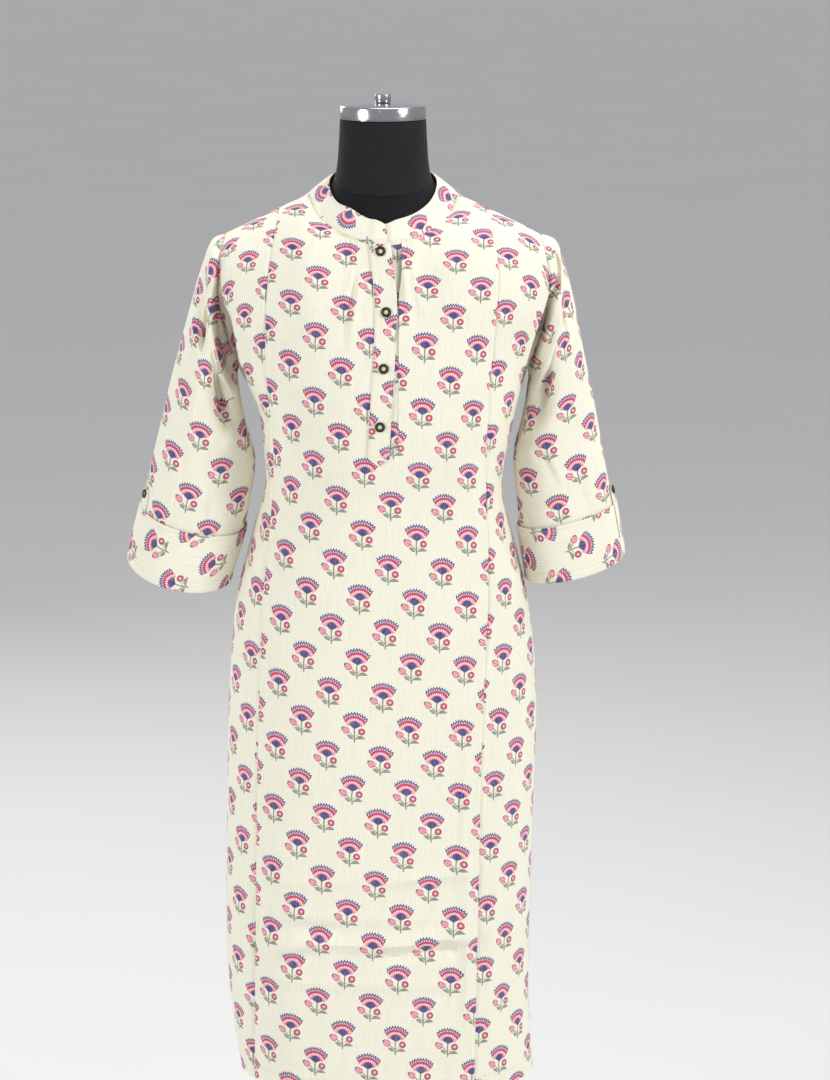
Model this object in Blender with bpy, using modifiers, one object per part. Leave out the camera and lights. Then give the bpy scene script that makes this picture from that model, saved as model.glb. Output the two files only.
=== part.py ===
"""A kurta tunic on a limbless dress form.

Metres, +Z up. The wearer's front faces -Y and image right is +X. The origin is the centre of
the base plate's underside, on the floor. Every piece of cloth is a wall of its own, laid on one
shared garment surface, with a small gap to its neighbours at each seam.
"""

import math
from collections import namedtuple

import bmesh
import bpy
from mathutils import Vector

# Walls and gaps
CLOTH = 0.0015
BAND = 0.0020
SEAM_GAP = 0.0004
COLLAR_GAP = 0.0015
LAY_GAP = 0.0004
EPS = 1e-4

# Neck, shoulder and armhole of the garment
SHOULDER_HALF = 0.187
SHOULDER_TIP_Z = 1.355
NECK_HALF = 0.087
NECK_SIDE_Z = 1.403
NECK_FRONT_DEPTH = 0.095
NECK_FRONT_Z = 1.355
NECK_BACK_DEPTH = 0.066
NECK_BACK_Z = 1.410
CHEST_SWELL = 0.6
BLADE_SWELL = 1.2
NECK_SOFT_LEVEL = 0.30
NECK_SOFT_WIDER = 0.25
NECK_SOFT_POWER = 0.30
UNDERARM_Z = 1.195
UNDERARM_HALF = 0.172
ARMHOLE_BULGE = 0.0145
ARMHOLE_FRONT = 0.060
ARMHOLE_BACK = 0.066
HEM_Z = 0.325
SLIT_TOP_Z = 0.594
SLIT_SPREAD = 0.016

# The body below the underarm, a row for each level
Section = namedtuple("Section", "z half_width centre front back squareness")
BODY = (
    Section(1.195, 0.172, 0.000, 0.132, 0.100, 2.2),
    Section(1.150, 0.155, 0.005, 0.1345, 0.0985, 2.2),
    Section(1.105, 0.147, 0.003, 0.1310, 0.0900, 2.2),
    Section(1.058, 0.142, 0.001, 0.123, 0.080, 2.2),
    Section(1.020, 0.148, -0.001, 0.119, 0.084, 2.3),
    Section(0.965, 0.162, -0.001, 0.119, 0.096, 2.4),
    Section(0.910, 0.175, -0.001, 0.121, 0.108, 2.4),
    Section(0.835, 0.184, 0.000, 0.124, 0.117, 2.4),
    Section(0.760, 0.187, -0.001, 0.125, 0.120, 2.4),
    Section(0.645, 0.1865, -0.004, 0.125, 0.119, 2.4),
    Section(0.530, 0.186, -0.006, 0.124, 0.117, 2.4),
    Section(0.430, 0.184, -0.005, 0.122, 0.115, 2.4),
    Section(0.372, 0.182, 0.000, 0.121, 0.113, 2.4),
    Section(HEM_Z, 0.180, 0.005, 0.120, 0.112, 2.4),
)

# The two princess seams of the front, left and right in the picture
Seam = namedtuple("Seam", "z left right")
PRINCESS = (
    Seam(1.386, -0.124, 0.124),
    Seam(1.320, -0.133, 0.135),
    Seam(1.231, -0.138, 0.130),
    Seam(1.186, -0.137, 0.125),
    Seam(1.111, -0.131, 0.123),
    Seam(1.045, -0.133, 0.123),
    Seam(0.931, -0.143, 0.124),
    Seam(0.759, -0.150, 0.118),
    Seam(0.565, -0.154, 0.115),
    Seam(HEM_Z, -0.158, 0.111),
)
PRINCESS_TOP = PRINCESS[0].right

# Long soft folds of the skirt, in the side fronts and the back as well as the centre
Fold = namedtuple("Fold", "side x top_z bottom_z width height")
FOLDS = (
    Fold(-1, 0.096, 0.80, 0.20, 0.020, 0.0035),
    Fold(-1, 0.072, 0.62, 0.20, 0.014, -0.0030),
    Fold(-1, -0.118, 0.66, 0.20, 0.020, 0.0035),
    Fold(-1, -0.150, 0.66, 0.20, 0.014, -0.0050),
    Fold(-1, -0.040, 0.55, 0.20, 0.030, -0.0020),
    Fold(-1, -0.080, 1.12, 0.93, 0.026, -0.0025),
    Fold(-1, 0.085, 1.12, 0.93, 0.026, -0.0025),
    Fold(1, 0.000, 1.20, 0.92, 0.034, -0.0050),
    Fold(1, 0.075, 0.86, 0.20, 0.026, 0.0050),
    Fold(1, -0.070, 0.80, 0.20, 0.030, 0.0050),
    Fold(1, 0.010, 0.74, 0.20, 0.024, -0.0040),
    Fold(1, 0.125, 0.72, 0.20, 0.020, -0.0040),
    Fold(1, -0.125, 0.76, 0.20, 0.022, -0.0040),
)
FOLD_FADE = 0.14

# Gathers below the collar, a ridge for each
Gather = namedtuple("Gather", "x height length")
GATHERS = (
    Gather(-0.042, 0.0014, 0.052),
    Gather(-0.036, 0.0018, 0.066),
    Gather(-0.030, 0.0014, 0.044),
    Gather(0.0225, 0.0018, 0.040),
    Gather(0.0285, 0.0020, 0.048),
    Gather(0.0345, 0.0018, 0.042),
)
GATHER_WIDTH = 0.0017

# The slit for the placket, and its two strips
SLIT_LEFT = -0.014
SLIT_RIGHT = 0.018
SLIT_BOTTOM_Z = 1.118
OVER_HALF = 0.0125
OVER_BOTTOM_Z = 1.108
OVER_POINT = 0.010
UNDER_LEFT = -0.0120
# The upper strip sways as it hangs: where its middle lies, down the front
Sway = namedtuple("Sway", "z x")
OVER_SWAY = (
    Sway(1.366, -0.0050),
    Sway(1.326, -0.0008),
    Sway(1.285, 0.0034),
    Sway(1.228, 0.0015),
    Sway(1.155, -0.0030),
    Sway(1.104, -0.0052),
)
BUTTON_Z = (1.345, 1.277, 1.213, 1.146)
BUTTON_RADIUS = 0.0060
BUTTON_DOME = 0.0018

# The collar: its foot follows the neckline and its top leans in
COLLAR_TOP_HALF = 0.0635
COLLAR_TOP_SIDE_Z = 1.4165
COLLAR_TOP_FRONT_DEPTH = 0.079
COLLAR_TOP_FRONT_Z = 1.3790
COLLAR_TOP_BACK_DEPTH = 0.0535
COLLAR_TOP_BACK_Z = 1.4370
COLLAR_START = math.radians(-5)
COLLAR_END = math.radians(3.2)
COLLAR_LAP = math.radians(9)
COLLAR_LAP_LIFT = 0.0028

# Sleeves: outer and inner edge of each ring, and its depth to the front and the back
Ring = namedtuple("Ring", "along outer_x outer_z inner_x inner_z front back bulge drop")
SLEEVE_RIGHT = (
    Ring(0.00, 0.187, 1.355, 0.172, 1.195, 0.060, 0.066, 0.0145, 0.000),
    Ring(0.05, 0.205, 1.347, 0.174, 1.184, 0.062, 0.067, 0.0140, 0.000),
    Ring(0.11, 0.214, 1.325, 0.172, 1.170, 0.063, 0.066, 0.0120, 0.000),
    Ring(0.23, 0.226, 1.280, 0.169, 1.148, 0.062, 0.063, 0.0080, 0.000),
    Ring(0.38, 0.238, 1.222, 0.164, 1.125, 0.058, 0.058, 0.0040, 0.000),
    Ring(0.52, 0.250, 1.165, 0.158, 1.100, 0.054, 0.054, 0.0000, 0.000),
    Ring(0.67, 0.262, 1.105, 0.157, 1.070, 0.050, 0.050, 0.0000, 0.002),
    Ring(0.80, 0.272, 1.055, 0.162, 1.032, 0.047, 0.047, 0.0000, 0.005),
    Ring(0.86, 0.277, 1.034, 0.164, 1.005, 0.046, 0.046, 0.0000, 0.006),
    Ring(1.00, 0.288, 0.974, 0.174, 0.945, 0.045, 0.045, 0.0000, 0.008),
)
SLEEVE_LEFT = (
    Ring(0.00, 0.187, 1.355, 0.172, 1.195, 0.060, 0.066, 0.0145, 0.000),
    Ring(0.05, 0.203, 1.348, 0.174, 1.184, 0.062, 0.067, 0.0140, 0.000),
    Ring(0.11, 0.2125, 1.326, 0.172, 1.170, 0.063, 0.066, 0.0120, 0.000),
    Ring(0.23, 0.226, 1.280, 0.169, 1.148, 0.062, 0.063, 0.0080, 0.000),
    Ring(0.38, 0.242, 1.222, 0.164, 1.127, 0.058, 0.058, 0.0040, 0.000),
    Ring(0.52, 0.257, 1.165, 0.158, 1.107, 0.055, 0.054, 0.0000, 0.000),
    Ring(0.67, 0.271, 1.105, 0.153, 1.080, 0.051, 0.050, 0.0000, 0.004),
    Ring(0.80, 0.283, 1.055, 0.158, 1.042, 0.048, 0.047, 0.0000, 0.012),
    Ring(0.86, 0.289, 1.030, 0.166, 1.004, 0.047, 0.046, 0.0000, 0.015),
    Ring(1.00, 0.305, 0.968, 0.185, 0.946, 0.046, 0.045, 0.0000, 0.020),
)
# Deep folds of the sleeves: where round the ring, between which stretches, how wide and deep
Dent = namedtuple("Dent", "round_deg start end width_deg depth")
DENTS_RIGHT = (
    Dent(52, 0.02, 0.26, 15, 0.15),
    Dent(118, 0.10, 0.52, 24, 0.20),
    Dent(250, 0.05, 0.45, 24, 0.16),
    Dent(70, 0.45, 0.90, 20, 0.08),
)
DENTS_LEFT = (
    Dent(58, 0.01, 0.28, 16, 0.20),
    Dent(122, 0.10, 0.55, 26, 0.24),
    Dent(255, 0.05, 0.45, 24, 0.16),
    Dent(125, 0.55, 0.84, 22, 0.08),
)

CUFF_ALONG = 0.86
CUFF_LIFT = 0.0024
CUFF_BELOW = 0.006
SLIT_ALONG = 0.957
CUFF_SLIT_DEG = {"right": (20.0, 22.6), "left": (-12.0, -9.4)}
TAB_DEG = {"right": (-3.0, 17.0), "left": (4.0, 24.0)}
TAB_TOP_ALONG = 0.800
TAB_TUCK_ALONG = 0.875
TAB_CLOTH = 0.0012
TAB_BUTTON_ALONG = 0.822
TAB_BUTTON_RADIUS = 0.0055

# The dress form and its stand
FORM_BOTTOM_Z = 0.800
FORM_INSET = CLOTH + 0.0040
FORM_RIDGE_INSET = CLOTH + 0.0006
FORM_CORNER_INSET = CLOTH + 0.0026
FORM_NECK_INSET = 0.0050
FORM_HIP_INSET = 0.007
Plate = namedtuple("Plate", "t half_width")
FORM_SHOULDER = (
    Plate(0.0, 0.1735),
    Plate(0.5, 0.1690),
    Plate(0.8, 0.1600),
    Plate(1.0, 0.1520),
)
NeckRing = namedtuple("NeckRing", "side_x side_z front_y front_z back_y back_z")
FORM_NECK = (
    NeckRing(0.0625, 1.4100, 0.0765, 1.3730, 0.0515, 1.4215),
    NeckRing(0.0565, 1.4215, 0.0625, 1.4000, 0.0480, 1.4350),
    NeckRing(0.0530, 1.4400, 0.0555, 1.4300, 0.0470, 1.4480),
    NeckRing(0.0512, 1.4650, 0.0520, 1.4620, 0.0480, 1.4670),
    NeckRing(0.0500, 1.4900, 0.0500, 1.4900, 0.0500, 1.4900),
)
CAP_RADIUS = 0.0508
CAP_HEIGHT = 0.0165
CAP_DOME = 0.0030
KNOB_RADIUS = 0.0095
KNOB_HEIGHT = 0.0095
POLE_RADIUS = 0.016
BASE_RADIUS = 0.175
BASE_THICK = 0.010
BASE_BOSS_RADIUS = 0.030
BASE_BOSS_HEIGHT = 0.022

# How finely the surfaces are divided, and the level of the panels' top edges
TOP_LEVEL = 0.0006
UPPER_ROWS = 10
LOWER_LEVELS = 18
SLEEVE_ROUND = 24
NECK_CELLS = 6


def clear_scene():
    """Empties the scene, and gives the part's own collection."""
    for thing in list(bpy.data.objects):
        bpy.data.objects.remove(thing)
    kept = bpy.data.collections.new("kurta_on_form")
    bpy.context.scene.collection.children.link(kept)
    return kept


def finish_material(name, colour, roughness, metallic=0.0):
    """A Principled material of one colour."""
    material = bpy.data.materials.new(name)
    material.use_nodes = True
    shader = material.node_tree.nodes["Principled BSDF"]
    shader.inputs["Base Color"].default_value = (*colour, 1.0)
    shader.inputs["Roughness"].default_value = roughness
    shader.inputs["Metallic"].default_value = metallic
    return material


def blend(a, b, share):
    return a + (b - a) * share


def ease(low, high, value):
    """0 below low, 1 above high, and smooth between."""
    share = min(1.0, max(0.0, (value - low) / (high - low)))
    return share * share * (3 - 2 * share)


def between(rows, key, value):
    """Every column of a table at one value of its key column, on a smooth curve."""
    keys = [getattr(row, key) for row in rows]
    if keys[0] > keys[-1]:
        rows = rows[::-1]
        keys = keys[::-1]
    value = min(max(value, keys[0]), keys[-1])
    low = 0
    while low < len(rows) - 2 and keys[low + 1] < value:
        low += 1
    step = keys[low + 1] - keys[low]
    share = (value - keys[low]) / step

    def slope(column, i):
        before, after = max(i - 1, 0), min(i + 1, len(rows) - 1)
        rise = rows[after][column] - rows[before][column]
        return rise / (keys[after] - keys[before])

    found = []
    for column in range(len(rows[0])):
        start, end = rows[low][column], rows[low + 1][column]
        leave, reach = slope(column, low) * step, slope(column, low + 1) * step
        found.append(
            (2 * share**3 - 3 * share**2 + 1) * start
            + (share**3 - 2 * share**2 + share) * leave
            + (3 * share**2 - 2 * share**3) * end
            + (share**3 - share**2) * reach
        )
    return type(rows[0])(*found)


def armhole_x(angle):
    """How far out the armhole seam lies, from its top (0) to the underarm (pi)."""
    middle = (SHOULDER_HALF + UNDERARM_HALF) / 2
    return (
        middle
        + (SHOULDER_HALF - middle) * math.cos(angle)
        + ARMHOLE_BULGE * math.sin(angle) ** 2
    )


def level_z(t):
    """Height of the side at a level: 0 is the shoulder, 1 the underarm and 2 the hem."""
    if t < 1:
        fall = (1 - math.cos(math.pi * t)) / 2
        return blend(SHOULDER_TIP_Z, UNDERARM_Z, fall)
    return blend(UNDERARM_Z, HEM_Z, t - 1)


def level_at(z):
    """The level below the underarm that lies at this height."""
    return 1 + (UNDERARM_Z - z) / (UNDERARM_Z - HEM_Z)


def front_level_at(z):
    """The level whose centre front lies at this height."""
    if z < UNDERARM_Z:
        return level_at(z)
    fall = (NECK_FRONT_Z - z) / (NECK_FRONT_Z - UNDERARM_Z)
    return math.acos(1 - 2 * fall) / math.pi


def half_and_centre(t):
    if t < 1:
        return armhole_x(math.pi * t), 0.0
    row = between(BODY, "z", level_z(t))
    return row.half_width, row.centre


def fold_height(side, x, z):
    """How far the cloth stands out of its plain surface, in long soft folds."""
    height = 0.0
    for fold in FOLDS:
        if fold.side != side:
            continue
        reach = ease(fold.top_z, fold.top_z - FOLD_FADE, z) if z < fold.top_z else 0.0
        reach *= ease(fold.bottom_z, fold.bottom_z + FOLD_FADE, z)
        height += fold.height * reach * math.exp(-(((x - fold.x) / fold.width) ** 2))
    return height


def gather_height(x, t):
    """How far the small gathers stand out, below the collar."""
    fallen = (NECK_FRONT_Z - UNDERARM_Z) * (1 - math.cos(math.pi * min(t, 1.0))) / 2
    height = 0.0
    for gather in GATHERS:
        near = math.exp(-(((x - gather.x) / GATHER_WIDTH) ** 2))
        height += gather.height * near * (1 - ease(0.0, gather.length, fallen))
    return height


def front_z(t):
    """Height of the centre front at a level."""
    if t < 1:
        return blend(NECK_FRONT_Z, UNDERARM_Z, (1 - math.cos(math.pi * t)) / 2)
    return level_z(t)


def sway_x(t):
    return between(OVER_SWAY, "z", front_z(t)).x


def garment_point(side, x, t):
    """A point of the garment's outer face: side -1 is the front and 1 the back."""
    half, centre = half_and_centre(t)
    share = min(1.0, abs(x - centre) / half)
    if t >= 1:
        z = level_z(t)
        row = between(BODY, "z", z)
        depth = row.front if side < 0 else row.back
        y = depth * (1 - share**row.squareness) ** (1 / row.squareness)
        return Vector((x, side * (y + fold_height(side, x, z)), z))
    chest = BODY[0]
    depth = chest.front if side < 0 else chest.back
    fall = (1 - math.cos(math.pi * t)) / 2
    top_x = share * SHOULDER_HALF
    neck_depth, neck_z = (
        (NECK_FRONT_DEPTH, NECK_FRONT_Z) if side < 0 else (NECK_BACK_DEPTH, NECK_BACK_Z)
    )
    # The neckline is half an ellipse, and its corner at the shoulder softens further down
    soft = ease(0.0, NECK_SOFT_LEVEL, t)
    wide = NECK_HALF * (1 + NECK_SOFT_WIDER * soft)
    open_share = max(0.0, 1 - (top_x / wide) ** 2) ** (0.5 + NECK_SOFT_POWER * soft)
    top_y = neck_depth * open_share
    slope_share = max(0.0, top_x - NECK_HALF) / (SHOULDER_HALF - NECK_HALF)
    top_z = blend(blend(NECK_SIDE_Z, SHOULDER_TIP_Z, slope_share), neck_z, open_share)
    rounded = math.sqrt(1 - (1 - fall) ** 3)
    swell = CHEST_SWELL if side < 0 else BLADE_SWELL
    plain = fall * (1 + swell * (1 - fall))
    forward = blend(plain, rounded, ease(0.03, NECK_HALF, top_x))
    power = blend(0.75, 1 / chest.squareness, ease(0.45, 1.0, t))
    chest_y = depth * (1 - share**chest.squareness) ** power
    armhole = (ARMHOLE_FRONT if side < 0 else ARMHOLE_BACK) * math.sin(math.pi * t)
    y = blend(top_y, chest_y, forward) + armhole * share ** blend(4, 16, ease(0.5, 1.0, t))
    if side < 0:
        y += gather_height(x, t)
    z = blend(top_z, UNDERARM_Z, fall)
    return Vector((x, side * y, z))


def body_normal(side, x, t):
    """The outward direction of the garment's face, from its neighbours' places."""
    half, centre = half_and_centre(t)
    limit = half - 0.0006
    middle = min(max(x - centre, -limit), limit) + centre
    across = garment_point(side, middle + EPS, t) - garment_point(side, middle - EPS, t)
    high, low = max(t - 0.004, 0.0015), min(t + 0.004, 2.0)
    if high >= low:
        low = high + 0.004
    down = garment_point(side, x, low) - garment_point(side, x, high)
    normal = across.cross(down) * (1 if side > 0 else -1)
    normal.normalize()
    return normal if normal.dot(Vector((x * 0.4, side, 0.02))) > 0 else -normal


def sleeve_point(rings, dents, angle, along, sign):
    """A point of a sleeve's outer face: angle 0 is its outer side and 90 degrees its front."""
    ring = between(rings, "along", along)
    reach = 1.0
    for dent in dents:
        away = (math.degrees(angle) - dent.round_deg + 180) % 360 - 180
        fade = ease(dent.start, blend(dent.start, dent.end, 0.4), along)
        fade *= 1 - ease(blend(dent.start, dent.end, 0.6), dent.end, along)
        reach -= dent.depth * fade * math.exp(-((away / dent.width_deg) ** 2))
    cosine, sine = math.cos(angle) * reach, math.sin(angle)
    depth = (ring.front if sine > 0 else ring.back) * sine * reach
    fall = ring.drop * (sine if sine > 0 else 0.5 * sine)
    x = (ring.outer_x + ring.inner_x) / 2 + (ring.outer_x - ring.inner_x) / 2 * cosine
    z = (ring.outer_z + ring.inner_z) / 2 + (ring.outer_z - ring.inner_z) / 2 * cosine
    return Vector((sign * (x + ring.bulge * sine**2), -depth, z - fall))


def sleeve_normal(rings, dents, angle, along, sign):
    ahead, behind = min(along + 0.004, 1.0), max(along - 0.004, 0.0)
    down = sleeve_point(rings, dents, angle, ahead, sign)
    down -= sleeve_point(rings, dents, angle, behind, sign)
    turn = sleeve_point(rings, dents, angle + 0.01, along, sign)
    turn -= sleeve_point(rings, dents, angle - 0.01, along, sign)
    normal = turn.cross(down) * sign
    normal.normalize()
    return normal


def add_object(name, mesh, material, collection):
    """Turns a bmesh into a named object, shaded smooth but for its sharp rims."""
    bmesh.ops.recalc_face_normals(mesh, faces=mesh.faces)
    if mesh.calc_volume(signed=True) < 0:
        bmesh.ops.reverse_faces(mesh, faces=mesh.faces)
    data = bpy.data.meshes.new(name)
    mesh.to_mesh(data)
    mesh.free()
    data.shade_smooth()
    data.set_sharp_from_angle(angle=math.radians(40))
    data.materials.append(material)
    made = bpy.data.objects.new(name, data)
    collection.objects.link(made)
    return made


def wall_from_grid(name, grid, wall, closed, skip, material, collection):
    """A cloth wall: grid holds rows of (point, outward direction); skip names missing cells."""
    mesh = bmesh.new()
    outer = [[mesh.verts.new(p) for p, _ in row] for row in grid]
    inner = [[mesh.verts.new(p - n * wall) for p, n in row] for row in grid]
    rows, columns = len(grid), len(grid[0])
    across = columns if closed else columns - 1
    cells = [
        (i, j, (j + 1) % columns)
        for i in range(rows - 1)
        for j in range(across)
        if (i, j) not in skip
    ]
    edge_uses = {}
    for i, j, k in cells:
        for skin in (outer, inner):
            mesh.faces.new((skin[i][j], skin[i][k], skin[i + 1][k], skin[i + 1][j]))
        ring = ((i, j), (i, k), (i + 1, k), (i + 1, j))
        for a, b in zip(ring, ring[1:] + ring[:1]):
            edge_uses.setdefault(frozenset((a, b)), []).append((a, b))
    for uses in edge_uses.values():
        if len(uses) == 1:
            (i, j), (k, m) = uses[0]
            mesh.faces.new((outer[i][j], inner[i][j], inner[k][m], outer[k][m]))
    loose = [v for v in mesh.verts if not v.link_faces]
    bmesh.ops.delete(mesh, geom=loose, context="VERTS")
    return add_object(name, mesh, material, collection)


def shares_between(start, end, cells):
    return [blend(start, end, i / cells) for i in range(cells + 1)]


def body_levels(first, last=2.0):
    """The levels of the rows of a panel, from first to last."""
    levels = [i / UPPER_ROWS for i in range(1, UPPER_ROWS + 1)]
    levels += [1 + i / LOWER_LEVELS for i in range(1, LOWER_LEVELS + 1)]
    return [first] + [t for t in levels if first + 0.03 < t < last - 0.01] + [last]


def turn_of(x, t):
    """The angle round the body of a place across it, 0 at the centre and 90 at the side."""
    half, centre = half_and_centre(t)
    return math.asin(max(-1.0, min(1.0, (x - centre) / half)))


def place_of(turn, t):
    half, centre = half_and_centre(t)
    return centre + half * math.sin(turn)


def side_limit(t, side):
    """How far out a panel's edge goes: to the armhole, to the side seam, or short of the slit."""
    half, centre = half_and_centre(t)
    if t < 1:
        return half - SEAM_GAP / 2, centre
    row = between(BODY, "z", level_z(t))
    depth = row.front if side < 0 else row.back
    spread = SLIT_SPREAD * ease(SLIT_TOP_Z, HEM_Z, level_z(t)) if level_z(t) < SLIT_TOP_Z else 0
    back_off = (SEAM_GAP / 2 + spread / 2) / depth
    share = (1 - back_off**row.squareness) ** (1 / row.squareness)
    return half * share, centre


def princess_x(t, right):
    row = between(PRINCESS, "z", min(level_z(t), PRINCESS[0].z))
    if t < 1:
        share = ease(0.0, 0.5, t)
        row = between(PRINCESS, "z", blend(PRINCESS[0].z, level_z(t), share))
    return row.right if right else row.left


def neck_turn(t, right):
    """The column that starts at the neck's corner, and keeps its share of the panel below."""
    corner = math.asin(NECK_HALF / SHOULDER_HALF)
    seam = math.asin(PRINCESS_TOP / SHOULDER_HALF)
    return turn_of(princess_x(t, right), t) * corner / seam


def neck_columns(near, far):
    """Places from near to far, the column of the neck's corner, even along the neckline."""
    first = math.asin(abs(near) / NECK_HALF)
    found = []
    for turn in shares_between(first, math.pi / 2, NECK_CELLS)[1:-1]:
        share = (math.sin(turn) - math.sin(first)) / (1 - math.sin(first))
        found.append(blend(near, far, share))
    return found


def centre_columns(t):
    """Places across the centre front, with the gathers' ridges and the slit's edges among them."""
    left_edge = princess_x(t, False) + SEAM_GAP / 2
    right_edge = princess_x(t, True) - SEAM_GAP / 2
    left_neck = place_of(neck_turn(t, False), t)
    right_neck = place_of(neck_turn(t, True), t)
    step = 0.003
    left = [place_of(a, t) for a in shares_between(turn_of(left_edge, t), turn_of(left_neck, t), 3)]
    right = [
        place_of(a, t) for a in shares_between(turn_of(right_neck, t), turn_of(right_edge, t), 3)
    ]
    ridges = [-0.045 + step * i for i in range(7)]
    left += neck_columns(ridges[0], left_neck)[::-1] + ridges
    across = left + [SLIT_LEFT, blend(SLIT_LEFT, SLIT_RIGHT, 0.5), SLIT_RIGHT]
    ridges = [GATHERS[3].x + step * i for i in range(6)]
    return across + ridges + neck_columns(ridges[-1], right_neck) + right


def grid_of(side, levels, columns_at):
    """Rows of points and outward directions over the garment's face."""
    grid = []
    for t in levels:
        grid.append(
            [(garment_point(side, x, t), body_normal(side, x, t)) for x in columns_at(t)]
        )
    return grid


def front_levels():
    """The rows of the centre front, and which of them is the slit's lower end."""
    slit_end = front_level_at(SLIT_BOTTOM_Z)
    levels = body_levels(TOP_LEVEL)
    nearest = min(range(len(levels)), key=lambda i: abs(levels[i] - slit_end))
    levels[nearest] = slit_end
    return levels, nearest


def make_front_centre(material, collection):
    levels, nearest = front_levels()
    columns = centre_columns(levels[0])
    first = min(range(len(columns)), key=lambda j: abs(columns[j] - SLIT_LEFT))
    skip = {(i, j) for i in range(nearest) for j in (first, first + 1)}
    grid = grid_of(-1, levels, centre_columns)
    wall_from_grid("front_centre", grid, CLOTH, False, skip, material, collection)


def make_front_side(name, right, material, collection):
    """A side front: from the princess seam out to the shoulder, the armhole and the side seam."""
    sign = 1 if right else -1
    columns = 5

    def row_at(level):
        points = []
        for j in range(columns + 1):
            share = j / columns
            top = (math.asin(PRINCESS_TOP / SHOULDER_HALF), math.radians(90))
            shoulder_x = SHOULDER_HALF * math.sin(blend(*top, share))
            seam = princess_x(level, right) + sign * SEAM_GAP / 2
            limit, centre = side_limit(level, -1)
            start = turn_of(seam, level)
            end = turn_of(centre + sign * limit, level)
            x = place_of(blend(start, end, share), level)
            if level < 0.002:
                x = sign * min(max(shoulder_x, PRINCESS_TOP + SEAM_GAP / 2), limit)
            points.append(x)
        return points

    grid = grid_of(-1, body_levels(TOP_LEVEL), row_at)
    wall_from_grid(name, grid, CLOTH, False, (), material, collection)


def make_back(material, collection):
    """One back panel, from armhole to armhole."""
    share = math.asin(NECK_HALF / SHOULDER_HALF) / (math.pi / 2)

    def row_at(level):
        limit, centre = side_limit(level, 1)
        edge = turn_of(centre + limit, level)
        outside = [place_of(turn, level) - centre for turn in shares_between(edge * share, edge, 5)]
        inside = [
            outside[0] * math.sin(turn) for turn in shares_between(-math.pi / 2, math.pi / 2, 10)
        ]
        across = [-x for x in outside[:0:-1]] + inside + outside[1:]
        return [centre + x for x in across]

    grid = grid_of(1, body_levels(TOP_LEVEL), row_at)
    wall_from_grid("back", grid, CLOTH, False, (), material, collection)


def neckline_point(turn, top):
    """A point of the collar's foot (top 0) or edge (top 1): turn 0 is centre front."""
    front = math.cos(turn) > 0
    foot_depth, foot_z = (
        (NECK_FRONT_DEPTH, NECK_FRONT_Z) if front else (NECK_BACK_DEPTH, NECK_BACK_Z)
    )
    edge_depth, edge_z = (
        (COLLAR_TOP_FRONT_DEPTH, COLLAR_TOP_FRONT_Z)
        if front
        else (COLLAR_TOP_BACK_DEPTH, COLLAR_TOP_BACK_Z)
    )
    lean = abs(math.cos(turn))
    foot = Vector(
        (
            NECK_HALF * math.sin(turn),
            -foot_depth * math.cos(turn),
            blend(NECK_SIDE_Z, foot_z, lean),
        )
    )
    edge = Vector(
        (
            COLLAR_TOP_HALF * math.sin(turn),
            -edge_depth * math.cos(turn),
            blend(COLLAR_TOP_SIDE_Z, edge_z, lean),
        )
    )
    return foot.lerp(edge, top)


def collar_normal(turn):
    across = neckline_point(turn + 0.01, 0.5) - neckline_point(turn - 0.01, 0.5)
    rise = neckline_point(turn, 1.0) - neckline_point(turn, 0.0)
    return across.cross(rise).normalized()


def make_collar(material, collection):
    """A band from the right of centre front, round the back, to lap over itself."""
    grid = []
    tall = (neckline_point(0, 1) - neckline_point(0, 0)).length
    start, end = COLLAR_START, 2 * math.pi + COLLAR_END
    cells = 48
    for share in (COLLAR_GAP / tall, 0.5, 1.0):
        row = []
        for j in range(cells + 1):
            turn = blend(start, end, j / cells)
            normal = collar_normal(turn)
            lapped = ease(end - 2 * COLLAR_LAP, end - COLLAR_LAP, turn)
            lift = COLLAR_LAP_LIFT * lapped
            crown = 0.0012 * (1 - (2 * share - 1) ** 2)
            row.append((neckline_point(turn, share) + normal * (lift + crown), normal))
        grid.append(row)
    wall_from_grid("collar", grid, BAND, False, (), material, collection)


def strip_grid(columns_at, top_t, bottom_t, lift, point):
    """Rows of a strip that lies on the front: its lower end is drawn down by point in the middle."""
    grid = []
    levels = [t for t in front_levels()[0] if top_t < t < bottom_t - 0.004]
    for t in [top_t] + levels + [bottom_t]:
        row = []
        columns = columns_at(t)
        wide = columns[-1] - columns[0]
        for x in columns:
            sag = point * (1 - abs(2 * (x - columns[0]) / wide - 1)) / (UNDERARM_Z - HEM_Z)
            level = t + sag if t == bottom_t else t
            normal = body_normal(-1, x, level)
            row.append((garment_point(-1, x, level) + normal * lift, normal))
        grid.append(row)
    return grid


def make_placket(material, collection):
    top_t = 0.045
    under = [blend(UNDER_LEFT, SLIT_RIGHT - SEAM_GAP, i / 4) for i in range(5)]
    bottom_t = front_level_at(SLIT_BOTTOM_Z + SEAM_GAP)
    grid = strip_grid(lambda t: under, top_t, bottom_t, 0.0, 0.0)
    wall_from_grid("placket_under", grid, CLOTH, False, (), material, collection)
    bottom_t = front_level_at(OVER_BOTTOM_Z)

    def over(t):
        return shares_between(sway_x(t) - OVER_HALF, sway_x(t) + OVER_HALF, 4)

    grid = strip_grid(over, top_t, bottom_t, LAY_GAP + CLOTH, OVER_POINT)
    wall_from_grid("placket_over", grid, CLOTH, False, (), material, collection)


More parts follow.
